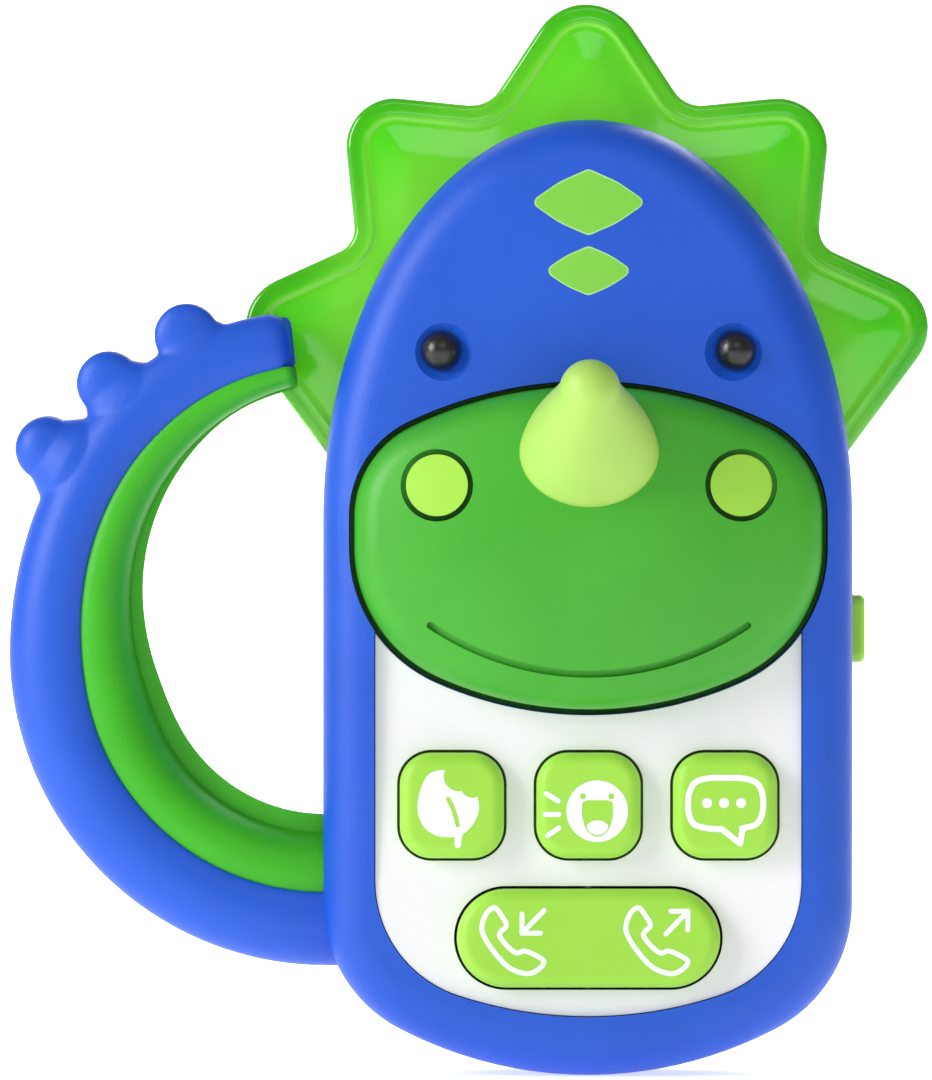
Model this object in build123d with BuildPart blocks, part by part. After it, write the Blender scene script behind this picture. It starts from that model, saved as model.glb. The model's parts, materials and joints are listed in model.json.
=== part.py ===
from build123d import *
import math
import os

# A toy telephone shaped as a dinosaur's head: a blue two-shell body with a green muzzle that is one
# big push button, a white keypad with four keys, a clear green crest and a tail that curls round
# into a carrying handle.
#
# Frame: +Z runs up the phone, the face looks along -Y, and the flat back lies on y = 0. The origin is
# on the back, midway across the body and at the middle of its height. A "depth" is a distance from
# the back towards the face, so depth d is the plane y = -d. All sizes are in millimetres.

# ------------------------------------------------------------------ body shells
body_width = 75.2
head_centre = 11.1  # height where the straight sides end and the head's arch starts
head_rise = 56.8
chin_start = -43.5  # height where the straight sides end and the chin starts
chin_tip = -67.8
chin_corner = 20.0
shell_wall = 2.2
back_wall = 2.2
face_wall = 2.4
parting_depth = 11.0
face_depth = 28.0
face_across = 260.0  # radius of the face's bulge across the phone
face_along = 900.0  # radius of the face's bulge along the phone
face_rounding = 7.0
back_rounding = 5.5
body_half = body_width / 2

# ------------------------------------------------------------------ fits
slip = 0.15  # a piece dropped into its seat
rest_gap = 0.05  # a sprung piece short of its stop
running = 0.05  # radial, on pins that turn
screw_gap = 0.06  # radial, round a screw's shank in its boss
screw_end_gap = 0.4  # between a screw's tip and the bottom of its hole

# ------------------------------------------------------------------ crest
crest_rear = 5.5
crest_front = parting_depth
crest_hold = 6.0  # width of the flange inside the body
crest_foot = (5.4, -3.5)  # angle round the head, and stand-out from the body's outline
crest_corners = [  # angle round the head, stand-out from the body's outline, rounding
    (23.4, 20.0, 7.3),
    (39.5, 5.25, 3.0),
    (52.5, 20.4, 7.0),
    (71.0, 5.75, 4.0),
]
crest_peak = (90.0, 23.7, 8.1)

# ------------------------------------------------------------------ tail handle
tail_height = -7.4  # height of the curl's centre, which lies on the body's left side
tail_outer = 45.1
tail_middle = 34.4  # where the blue tube meets the green grip
tail_inner = 23.5
tail_outer_growth = 3.4
tail_middle_growth = 6.0
tail_inner_growth = 14.3
tail_half_depth = 6.3
tail_tip_half_depth = 3.3
tail_depth = 13.5
tail_tip_depth = 15.2
tail_tip_angle = 84.0
tail_root = 4.2  # length inside the body's wall
tail_crease = 0.35  # share of a section's height that lies behind its widest line
grip_narrowing = 0.93
grip_overlap = 0.3
grip_ledge_root = 2.7  # the grip's rear half stands this far into the loop past its front half
grip_ledge_tip = 0.7
tail_tip_rounding = 1.2
grip_tip_rounding = 0.8
tip_rounding_share = 0.12  # share of a section's width that its end's rounding never passes
tail_station_count = 15
spike_angles = (37.0, 52.0, 67.3)
spike_reach = 53.5
spike_tip = 4.5
spike_foot = 7.4
spike_foot_radius = 43.0
spike_depth_share = 0.88  # half depth of a spike's foot over the tail's half depth
spike_lean = 7.0
tail_screw_angles = (-58.0, 8.0)
tail_peg_radius = 1.1
tail_peg_angle = 81.5
tail_peg_from_centre = 42.6

# ------------------------------------------------------------------ keypad
window_margin = 7.5  # body rim beside the window
window_bottom_margin = 8.7
window_start = -40.0
window_corner = 17.0
plate_depth = 25.0
plate_thickness = 1.6
floor_thickness = 2.0
key_size = (14.7, 14.9)
key_rounding = 4.5
key_pitch = 19.3
key_row = -29.3
key_stand = 2.8
key_gap = 0.4
key_edge = 1.8
key_flange = 1.3
key_flange_thickness = 1.2
key_skin = 1.8
rocker_size = (37.2, 13.9)
rocker_row = -48.05
rocker_pin_radius = 0.75
rocker_pin_drop = 0.8  # pin axis below the floor
rocker_post_spacing = 12.0
lug_thickness = 1.5
lug_width = 4.4
lug_gap = 0.2
rocker_skirt = 0.7  # rim below the pin's bore
stem_radius = 2.0
dome_foot = 3.4
dome_top = 2.2
dome_height = 2.2
web_thickness = 0.8
board_depth = 15.5
board_thickness = 1.6
board_top = -19.6
board_inset = 2.6
board_screws_at = ((24.8, -41.2),)
board_boss = 2.0
membrane_inset = 3.4
chip_size = (10.0, 5.0, 1.4)
chip_height = -51.8

# ------------------------------------------------------------------ muzzle
muzzle_margin = 4.5  # body rim beside the muzzle
muzzle_height = 7.1  # height of its widest line
brow_start = 11.6
brow_tip = 29.9
brow_corner = 14.0
jaw_tip = -15.7
jaw_corner = 20.0
muzzle_gap = 0.75
muzzle_apex = 35.0
muzzle_across = 84.0
muzzle_along = 66.0
muzzle_rounding = 5.5
muzzle_wall = 2.2
muzzle_travel = 2.0
collar_thickness = 1.6
collar_end = 19.5
muzzle_lip = 1.2
muzzle_lip_thickness = 1.3
smile_radius = 39.9
smile_bottom = -10.65
smile_half_angle = 34.0
smile_width = 1.0
smile_cut = 0.9
nostril_place = (21.4, 15.9)
nostril_radius = 4.35
nostril_groove = 0.75
nostril_sink = 3.0
nostril_peg = 1.5
horn_tip_height = 29.1
horn_tip_depth = 41.0
horn_tip = 4.3
horn_tilt = 42.0
horn_length = 14.2  # sunk foot to the centre of its rounded tip
horn_flare = 23.5  # half angle of its cone
horn_peg = 3.0
horn_peg_length = 5.0
frame_depth = 14.6
frame_thickness = 1.4
frame_screws_at = ((13.0, 35.2), (29.0, -13.5))
frame_boss = 2.2
spring_place = 17.0
spring_radius = 2.6
spring_wire = 0.6
spring_length = 7.4
spring_seat_wall = 0.6
muzzle_switch_size = (6.2, 2.0)
muzzle_switch_button = (1.7, 0.4)
frame_size = (63.2, 44.4)
frame_height = 5.8
frame_tab = (32.0, 17.0)
frame_tab_height = 30.0
frame_rounding = 3.0

# ------------------------------------------------------------------ eyes
eye_place = (20.8, 34.9)
eye_radius = 2.8
eye_dish_radius = 6.0
eye_dish_cut = 1.6
eye_seat_radius = 4.8
eye_seat_drop = 3.0
eye_peg = 1.4
eye_rise = 0.9  # the eyeball's centre above the dish's bottom

# ------------------------------------------------------------------ power slider
slider_height = -4.4
slider_length = 9.7
slider_width = 6.6
slider_stand = 2.0
slider_travel = 3.0
slider_neck = (4.0, 3.4)
slider_gap = 0.2
slider_flange = 1.6
switch_size = (5.6, 11.0, 5.0)
lever_size = (2.0, 2.0)
lever_bite = 1.2  # length held in the slider, and in the switch
switch_setback = 5.2  # switch's middle inside the slider's carriage
slider_rounding = (1.6, 0.8)

# ------------------------------------------------------------------ battery bay and door
cell_radius = 5.25
cell_length = 43.7
cell_nub = 0.8
cell_nub_radius = 1.9
cell_rounding = 0.5
cell_spacing = 11.1
cell_spring_length = 3.1
contact_thickness = 0.4
contact_half = 4.2
contact_spring_radii = (3.6, 2.6)
contact_spring_wire = 0.7
bay_height = -34.0
bay_wall = 1.2
bay_floor_gap = 0.3
bay_end_gap = 0.1
door_margin = (1.4, 7.0)  # beyond the bay's outside, across and along
door_rounding = 4.0
door_skin = 1.2
door_ledge = 1.6
door_screw_offset = 15.6
door_screw_head = 2.3
door_screw_shank = 1.25
door_screw_length = 8.0
door_boss = 3.0
door_screw_head_height = 1.0
door_groove_size = (18.0, 0.9, 0.35)
door_groove_pitch = 2.2

# ------------------------------------------------------------------ speaker, lamps and screws
speaker_height = 34.0
speaker_radius = 13.5
speaker_rim = 1.6
speaker_basket = 10.0
speaker_magnet = 7.0
speaker_deep = 8.6
speaker_ears = 17.2
speaker_basket_deep = 4.2
speaker_ring_thickness = 1.2
speaker_screw_tip = 1.5
cone_wall = 1.0
grille_hole = 1.0
grille_rings = ((0.0, 1), (3.2, 6), (6.4, 12), (9.6, 18))
lamp_radius = 1.5
lamp_length = 5.4
side_lamp_height = 38.0
lamp_setback = 0.6
lamp_seat_depth = 6.7
lamp_seat_size = 2.4
housing_screws_at = ((17.0, 46.5), (31.5, -21.5), (24.8, -55.6))
housing_boss = 2.8
housing_head = 2.0
housing_head_height = 1.4
housing_shank = 1.1
housing_sink = 5.0
housing_bite = 7.0
small_head = 1.7
small_head_height = 0.9
small_shank = 0.8
small_bite = 4.0

os.makedirs("parts", exist_ok=True)


# ------------------------------------------------------------------ shared outlines and helpers
def depth_plane(depth):
    """Plane at a depth, drawn as the phone is seen: x across, y up, pointing out of the face."""
    return Plane.XZ.offset(depth)


def blunt_end(half, start, tip, corner, grow):
    """A blunt round end: two corner arcs joined by a flatter one, every radius longer by grow.

    The sides stand at plus and minus half and stop at the height start; the end reaches the height tip.
    """
    side = math.copysign(1, tip - start)
    drop = abs(tip - start)
    end_radius = ((half - corner) ** 2 / (drop - corner) + drop + corner) / 2
    lean = math.atan2(end_radius - drop, half - corner)
    reach = corner + grow
    middle = (half - corner + reach * math.cos(lean / 2), start + side * reach * math.sin(lean / 2))
    joint = (half - corner + reach * math.cos(lean), start + side * reach * math.sin(lean))
    ThreePointArc((half + grow, start), middle, joint)
    ThreePointArc(joint, (0, tip + side * grow), (-joint[0], joint[1]))
    ThreePointArc((-joint[0], joint[1]), (-middle[0], middle[1]), (-half - grow, start))


def body_profile(inset):
    """Outline of the body, every radius shorter by inset."""
    half = body_half - inset
    with BuildSketch() as profile:
        with BuildLine():
            EllipticalCenterArc((0, head_centre), half, head_rise - inset, 0, arc_size=180)
            blunt_end(body_half, chin_start, chin_tip, chin_corner, -inset)
            Line((half, head_centre), (half, chin_start))
            Line((-half, head_centre), (-half, chin_start))
        make_face()
    return profile.sketch


def muzzle_profile(grow):
    """Outline of the muzzle, every radius longer by grow."""
    half = body_half - muzzle_margin
    with BuildSketch() as profile:
        with BuildLine():
            blunt_end(half, brow_start, brow_tip, brow_corner, grow)
            blunt_end(half, muzzle_height, jaw_tip, jaw_corner, grow)
            Line((half + grow, muzzle_height), (half + grow, brow_start))
            Line((-half - grow, muzzle_height), (-half - grow, brow_start))
        make_face()
    return profile.sketch


def window_profile(grow, top):
    """Outline of the keypad window, straight-sided up to a level top edge."""
    half = body_half - window_margin
    with BuildSketch() as profile:
        with BuildLine():
            blunt_end(half, window_start, chin_tip + window_bottom_margin, window_corner, grow)
            reach = half + grow
            Polyline((-reach, window_start), (-reach, top), (reach, top), (reach, window_start))
        make_face()
    return profile.sketch


def crown(apex_depth, across, along, height, reach):
    """Everything behind a face that bulges both ways, with its apex at the given depth and height."""
    axis_y = along - apex_depth
    rim_y = axis_y + along - (across - math.sqrt(across**2 - reach**2))
    with BuildPart() as bulge:
        with BuildSketch(Plane.XY.offset(height)):
            with BuildLine():
                foot = Line((-reach, axis_y), (reach, axis_y))
                side = Line(foot @ 1, (reach, rim_y))
                top = ThreePointArc(side @ 1, (0, axis_y + along), (-reach, rim_y))
                Line(top @ 1, foot @ 0)
            make_face()
        revolve(axis=Axis((0, axis_y, height), (1, 0, 0)), revolution_arc=360)
    return bulge.part


def crown_depth(apex_depth, across, along, height, spot):
    """Depth of a bulging face over the spot (x, z)."""
    drop_across = across - math.sqrt(across**2 - spot[0] ** 2)
    drop_along = along - math.sqrt(along**2 - (spot[1] - height) ** 2)
    return apex_depth - drop_across - drop_along


def layer(profile, start, end, mode=Mode.ADD):
    """A flat profile given thickness from one depth to another, in the part being built."""
    with BuildSketch(depth_plane(start)) as outline:
        add(profile)
    extrude(outline.sketch, amount=end - start, mode=mode)


def columns(spots, radius, start, end, mode=Mode.ADD):
    """Round columns along the depth, in the part being built."""
    with BuildSketch(depth_plane(start)) as rounds:
        with Locations(*spots):
            Circle(radius)
    extrude(rounds.sketch, amount=end - start, mode=mode)


def blocks(spots, width, height, start, end, mode=Mode.ADD):
    """Rectangular blocks along the depth, in the part being built."""
    with BuildSketch(depth_plane(start)) as squares:
        with Locations(*spots):
            Rectangle(width, height)
    extrude(squares.sketch, amount=end - start, mode=mode)


def both_sides(spots):
    """Each (x, z) spot and its mirror image across the body."""
    return [(side * x, z) for x, z in spots for side in (-1, 1)]


def screws(spots, head_radius, head_height, shank_radius, head_depth, tip_depth):
    """Pan-head screws that enter from the back, in the part being built."""
    columns(spots, head_radius, head_depth - head_height, head_depth)
    columns(spots, shank_radius, head_depth, tip_depth)
    for width, height in ((2 * shank_radius, 0.35 * shank_radius), (0.35 * shank_radius, 2 * shank_radius)):
        blocks(spots, width, height, head_depth - head_height, head_depth - head_height / 2, Mode.SUBTRACT)


def front_screws(spots, head_depth, tip_depth):
    """Small screws that enter from the front, in the part being built."""
    columns(spots, small_head, head_depth, head_depth + small_head_height)
    columns(spots, small_shank, tip_depth, head_depth)


def smoothstep(value, start, end):
    """0 before start, 1 after end, and a smooth rise between them."""
    share = min(max((value - start) / (end - start), 0.0), 1.0)
    return share * share * (3 - 2 * share)


# ------------------------------------------------------------------ derived places
floor_top = plate_depth - plate_thickness
floor_bottom = floor_top - floor_thickness
flange_top = floor_bottom - rest_gap
flange_bottom = flange_top - key_flange_thickness
board_top_depth = board_depth + board_thickness
web_top = board_top_depth + web_thickness
key_top = plate_depth + key_stand
key_spots = {"leaf_button": -key_pitch, "roar_button": 0.0, "chat_button": key_pitch}
rocker_pin_depth = floor_bottom - rocker_pin_drop
frame_top = frame_depth + frame_thickness
muzzle_lip_top = collar_end - rest_gap
muzzle_lip_bottom = muzzle_lip_top - muzzle_lip_thickness
frame_screw_spots = both_sides(frame_screws_at)
board_screw_spots = both_sides(board_screws_at)
housing_spots = both_sides(housing_screws_at)
eye_spots = both_sides([eye_place])
eye_depth = crown_depth(face_depth, face_across, face_along, 0, eye_place)
key_hole = (key_size[0] + 2 * key_gap, key_size[1] + 2 * key_gap)
rocker_hole = (rocker_size[0] + 2 * key_gap, rocker_size[1] + 2 * key_gap)
bay_length = cell_length + cell_nub + cell_spring_length + 2 * contact_thickness + 2 * bay_end_gap
bay_width = cell_spacing + 2 * cell_radius + 2 * bay_end_gap
cell_depth = back_wall + bay_floor_gap + cell_radius
bay_ceiling = cell_depth + cell_radius + bay_floor_gap
door_size = (bay_length + 2 * (bay_wall + door_margin[0]), bay_width + 2 * (bay_wall + door_margin[1]))
door_screw_spots = [(0, bay_height + door_screw_offset), (0, bay_height - door_screw_offset)]
ring_depth = back_wall + speaker_rim
speaker_ear_spots = both_sides([(speaker_ears, speaker_height)])


def key_holes(grow):
    """The three key openings and the rocker's opening."""
    with BuildSketch() as holes:
        with Locations(*[(x, key_row) for x in key_spots.values()]):
            RectangleRounded(key_hole[0] + grow, key_hole[1] + grow, key_rounding + key_gap)
        with Locations((0, rocker_row)):
            SlotOverall(rocker_hole[0] + grow, rocker_hole[1] + grow)
    return holes.sketch


# ------------------------------------------------------------------ crest
def round_head(angle, stand_out):
    """Spot at an angle round the head, outside the body's outline by stand_out."""
    turn = math.radians(angle)
    x = (body_half + stand_out) * math.cos(turn)
    z = head_centre + (head_rise + stand_out) * math.sin(turn)
    return (x, z)


def crest_profile(grow):
    """The crest's five lobes and the flange that the shells clamp."""
    foot = round_head(*crest_foot)
    right = [round_head(angle, stand_out) for angle, stand_out, _ in crest_corners]
    left = [(-x, z) for x, z in reversed(right)]
    peak = round_head(*crest_peak[:2])
    roundings = [rounding for _, _, rounding in crest_corners]
    with BuildSketch() as profile:
        with BuildLine():
            corners = [foot, *right, peak, *left, (-foot[0], foot[1])]
            lobes = FilletPolyline(*corners, radius=roundings + [crest_peak[2]] + roundings[::-1])
            Line(lobes @ 1, lobes @ 0)
        make_face()
        if grow:
            offset(amount=grow)
        add(body_profile(crest_hold + grow), mode=Mode.SUBTRACT)
    return profile.sketch


tail_centre = Vector(-body_half + 0.25, 0, tail_height)


def tail_direction(angle):
    """Unit vector from the curl's centre, 0 to the left and 90 straight up."""
    turn = math.radians(angle)
    return Vector(-math.cos(turn), 0, math.sin(turn))


def tail_spot(angle, radius):
    """(x, z) of a spot on the curl."""
    place = tail_centre + tail_direction(angle) * radius
    return (place.X, place.Z)


def tail_plane(angle):
    """Section plane of the curl: x away from its centre, y towards the face."""
    turn = math.radians(angle)
    return Plane(tail_centre, x_dir=tail_direction(angle), z_dir=(math.sin(turn), 0, math.cos(turn)))


def tail_sizes(angle):
    """Outer, middle and inner radius, half depth and mid depth of the tail at an angle."""
    outer = tail_outer + tail_outer_growth * smoothstep(angle, 5, 70)
    middle = tail_middle + tail_middle_growth * smoothstep(angle, -10, 85)
    inner = tail_inner + tail_inner_growth * smoothstep(angle, -25, 100)
    thinning = smoothstep(angle, 18, 72)
    half_depth = tail_half_depth + (tail_tip_half_depth - tail_half_depth) * thinning
    mid_depth = tail_depth + (tail_tip_depth - tail_depth) * thinning
    return outer, middle, inner, half_depth, mid_depth


def bulging_section(flat, peak, half_depth, mid_depth):
    """A rounded section that stands on a flat line and bulges out to its peak."""
    side = math.copysign(1, peak - flat)
    behind = tail_crease * abs(peak - flat)
    bulge = abs(peak - flat) - behind
    wrap = math.degrees(math.asin(behind / bulge))
    middle_angle = 0 if side > 0 else 180
    centre = (flat + side * behind, mid_depth)
    start = middle_angle - 90 - wrap
    with BuildSketch() as section:
        with BuildLine():
            arc = EllipticalCenterArc(centre, bulge, half_depth, start, arc_size=180 + 2 * wrap)
            Line(arc @ 1, arc @ 0)
        make_face()
    return section.sketch


def curl(which, tip_rounding):
    """The whole tube, or the whole of one grip half, lofted round the curl and run straight into the body."""
    step = (tail_tip_angle + 90) / (tail_station_count - 1)
    with BuildPart() as tube:
        for station in range(tail_station_count):
            angle = -90 + station * step
            outer, middle, inner, half_depth, mid_depth = tail_sizes(angle)
            ledge = grip_ledge_root + (grip_ledge_tip - grip_ledge_root) * smoothstep(angle, -50, 85)
            flat, peak = (middle, outer) if which == "tube" else (middle + grip_overlap, inner)
            if which == "front_grip":
                peak += ledge
            if which != "tube":
                half_depth *= grip_narrowing
            with BuildSketch(tail_plane(angle)):
                add(bulging_section(flat, peak, half_depth, mid_depth))
        loft()
        root_face = tube.faces().filter_by(Axis.X).sort_by(Axis.X)[-1]
        extrude(root_face, amount=tail_root)
        tip_radius = (flat + peak) / 2
        tip_spot = tail_centre + tail_direction(tail_tip_angle) * tip_radius + Vector(0, -mid_depth, 0)
        limit = tip_rounding_share * abs(peak - flat)
        fillet(tube.faces().sort_by_distance(tip_spot)[0].edges(), min(tip_rounding, limit))
    return tube.part


def face_solid(apex_depth, rounding, profile, start):
    """A profile raised to a bulging, round-edged face."""
    with BuildPart() as raised:
        layer(profile, start, apex_depth + 1)
        add(crown(apex_depth, face_across, face_along, 0, body_width), mode=Mode.INTERSECT)
        rim = [edge for edge in raised.edges() if edge.center().Y < -start - rounding / 2]
        fillet([edge for edge in rim if abs(edge.tangent_at(0.5).Y) < 0.9], rounding)
    return raised.part


def muzzle_solid(inset, start):
    """The muzzle's dome over its outline, every wall inset."""
    with BuildPart() as dome:
        layer(muzzle_profile(-inset), start, muzzle_apex + 1)
        across, along = muzzle_across - inset, muzzle_along - inset
        bulge = crown(muzzle_apex - inset, across, along, muzzle_height, 0.85 * muzzle_along)
        add(bulge, mode=Mode.INTERSECT)
        rim = [edge for edge in dome.edges() if edge.center().Y < -start - 1]
        fillet([edge for edge in rim if abs(edge.tangent_at(0.5).Y) < 0.9], muzzle_rounding - inset)
    return dome.part


# ------------------------------------------------------------------ crest
lamp_edge = body_half - crest_hold
side_lamp_x = lamp_edge * math.sqrt(1 - ((side_lamp_height - head_centre) / (head_rise - crest_hold)) ** 2)
top_lamp_height = head_centre + head_rise - crest_hold
lamp_middle = lamp_setback + lamp_length * 2 / 3
lamp_seats = both_sides([(side_lamp_x - lamp_middle, side_lamp_height)])
lamp_seats += [(0, top_lamp_height - lamp_middle)]
peg_x, peg_z = tail_spot(tail_peg_angle, tail_peg_from_centre)
peg_mid_depth = tail_sizes(tail_peg_angle)[4]

with BuildPart() as crest:
    layer(crest_profile(0), crest_rear, crest_front)
    columns([(peg_x, peg_z)], tail_peg_radius + running, crest_rear, crest_front, Mode.SUBTRACT)
crest.part.label = "crest"
export_step(crest.part, "parts/crest.step")

# ------------------------------------------------------------------ tail and grip
whole_tube = curl("tube", tail_tip_rounding)
front_grip = curl("front_grip", grip_tip_rounding)
rear_grip = curl("rear_grip", grip_tip_rounding)

with BuildPart() as spikes:
    for angle in spike_angles:
        outward = tail_direction(angle - spike_lean)
        _, _, _, half_depth, mid_depth = tail_sizes(angle)
        foot_place = tail_centre + tail_direction(angle) * spike_foot_radius + Vector(0, -mid_depth, 0)
        height = spike_reach - spike_tip - spike_foot_radius
        with BuildPart(mode=Mode.PRIVATE) as spike:
            Cone(spike_foot, spike_tip, height, align=(Align.CENTER, Align.CENTER, Align.MIN))
            with Locations((0, 0, height)):
                Sphere(spike_tip)
            scale(by=(spike_depth_share * half_depth / spike_foot, 1, 1))
        with Locations(Plane(foot_place, x_dir=(0, 1, 0), z_dir=outward)):
            add(spike.part)

tail_split = Plane.XZ.offset(tail_depth)
tail_screw_spots = [tail_spot(angle, (tail_outer + tail_middle) / 2) for angle in tail_screw_angles]
tail_head_depth = tail_depth - 0.55 * tail_half_depth

with BuildPart() as tail_front:
    add(whole_tube)
    add(spikes.part)
    split(bisect_by=tail_split, keep=Keep.TOP)
    columns(tail_screw_spots, housing_shank + screw_gap, tail_depth, tail_depth + small_bite, Mode.SUBTRACT)
    columns([(peg_x, peg_z)], tail_peg_radius + running, tail_depth, peg_mid_depth, Mode.SUBTRACT)
tail_front.part.label = "tail_front"
export_step(tail_front.part, "parts/tail_front.step")

with BuildPart() as tail_rear:
    add(whole_tube)
    add(spikes.part)
    split(bisect_by=tail_split, keep=Keep.BOTTOM)
    columns(tail_screw_spots, housing_shank + screw_gap, tail_head_depth, tail_depth, Mode.SUBTRACT)
    columns(tail_screw_spots, housing_head + slip, 0, tail_head_depth, Mode.SUBTRACT)
    columns([(peg_x, peg_z)], tail_peg_radius + running, crest_front, tail_depth, Mode.SUBTRACT)
tail_rear.part.label = "tail_rear"
export_step(tail_rear.part, "parts/tail_rear.step")

with BuildPart() as grip_front:
    add(front_grip)
    add(whole_tube, mode=Mode.SUBTRACT)
    split(bisect_by=tail_split, keep=Keep.TOP)
grip_front.part.label = "grip_front"
export_step(grip_front.part, "parts/grip_front.step")

with BuildPart() as grip_rear:
    add(rear_grip)
    add(whole_tube, mode=Mode.SUBTRACT)
    split(bisect_by=tail_split, keep=Keep.BOTTOM)
grip_rear.part.label = "grip_rear"
export_step(grip_rear.part, "parts/grip_rear.step")

with BuildPart() as tail_screws:
    tip_depth = tail_depth + small_bite - screw_end_gap
    screws(tail_screw_spots, housing_head, small_head_height, housing_shank, tail_head_depth, tip_depth)
tail_screws.part.label = "tail_screws"
export_step(tail_screws.part, "parts/tail_screws.step")

with BuildPart() as tail_peg:
    columns([(peg_x, peg_z)], tail_peg_radius, crest_rear + screw_end_gap, peg_mid_depth - screw_end_gap)
tail_peg.part.label = "tail_peg"
export_step(tail_peg.part, "parts/tail_peg.step")

# ------------------------------------------------------------------ rear shell
slider_slot = (slider_neck[0] + 2 * (slider_travel + slider_gap), slider_neck[1] + 2 * slider_gap)
switch_place = (body_half - shell_wall - slider_flange - switch_setback, slider_height)


def slot_block(mode):
    """The slot through the right-hand wall that the power slider's neck runs in."""
    wall_spot = (body_half - shell_wall / 2, slider_height)
    start = parting_depth - slider_slot[1] / 2
    blocks([wall_spot], 2 * shell_wall, slider_slot[0], start, start + slider_slot[1], mode)


def door_outline(grow):
    """The battery door's rounded outline."""
    with BuildSketch() as outline:
        with Locations((0, bay_height)):
            RectangleRounded(door_size[0] + 2 * grow, door_size[1] + 2 * grow, door_rounding + grow)
    return outline.sketch


with BuildPart() as rear_shell:
    layer(body_profile(0), 0, parting_depth)
    fillet(rear_shell.edges().group_by(Axis.Y)[-1], back_rounding)
    layer(body_profile(shell_wall), back_wall, parting_depth, Mode.SUBTRACT)
    root = back_wall / 2  # bosses and walls start half way through the back
    columns(housing_spots, housing_boss, root, parting_depth)
    bay_outside = (bay_length + 2 * bay_wall, bay_width + 2 * bay_wall)
    blocks([(0, bay_height)], *bay_outside, root, bay_ceiling + bay_wall)
    columns(door_screw_spots, door_boss, root, door_screw_length + bay_wall)
    columns(speaker_ear_spots, frame_boss, root, ring_depth)
    blocks([switch_place], switch_size[0], switch_size[1], root, parting_depth - switch_size[2] / 2)
    blocks(lamp_seats, lamp_seat_size, lamp_seat_size, root, lamp_seat_depth)
    # the bay is open to the back; the door lies in a stepped recess
    blocks([(0, bay_height)], bay_length, bay_width, 0, bay_ceiling, Mode.SUBTRACT)
    layer(door_outline(slip), 0, door_skin, Mode.SUBTRACT)
    layer(door_outline(slip - door_ledge), 0, back_wall, Mode.SUBTRACT)
    door_hole_end = door_screw_length + screw_end_gap
    columns(door_screw_spots, door_screw_shank + running + slip, back_wall, door_hole_end, Mode.SUBTRACT)
    # counterbored holes for the housing screws
    columns(housing_spots, housing_shank + screw_gap, 0, parting_depth, Mode.SUBTRACT)
    columns(housing_spots, housing_head + slip, 0, housing_sink, Mode.SUBTRACT)
    ear_hole_end = speaker_screw_tip - screw_end_gap
    columns(speaker_ear_spots, small_shank + screw_gap, ear_hole_end, ring_depth, Mode.SUBTRACT)
    for ring_radius, count in grille_rings:
        turns = [2 * math.pi * step / count for step in range(count)]
        spots = [(ring_radius * math.cos(turn), ring_radius * math.sin(turn)) for turn in turns]
        columns([(x, speaker_height + z) for x, z in spots], grille_hole, 0, back_wall, Mode.SUBTRACT)
    layer(crest_profile(slip), crest_rear, crest_front, Mode.SUBTRACT)
    add(whole_tube, mode=Mode.SUBTRACT)
    add(rear_grip, mode=Mode.SUBTRACT)
    slot_block(Mode.SUBTRACT)
rear_shell.part.label = "rear_shell"
export_step(rear_shell.part, "parts/rear_shell.step")

# ------------------------------------------------------------------ front shell
lug_spots = [(0, rocker_row + side * (rocker_hole[1] / 2 + lug_gap + lug_thickness / 2)) for side in (-1, 1)]
lug_drop = rocker_pin_drop + rocker_pin_radius + 1.0
outer_face = face_solid(face_depth, face_rounding, body_profile(0), parting_depth)
inner_rounding = face_rounding - face_wall
inner_face = face_solid(face_depth - face_wall, inner_rounding, body_profile(shell_wall), parting_depth)

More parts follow.
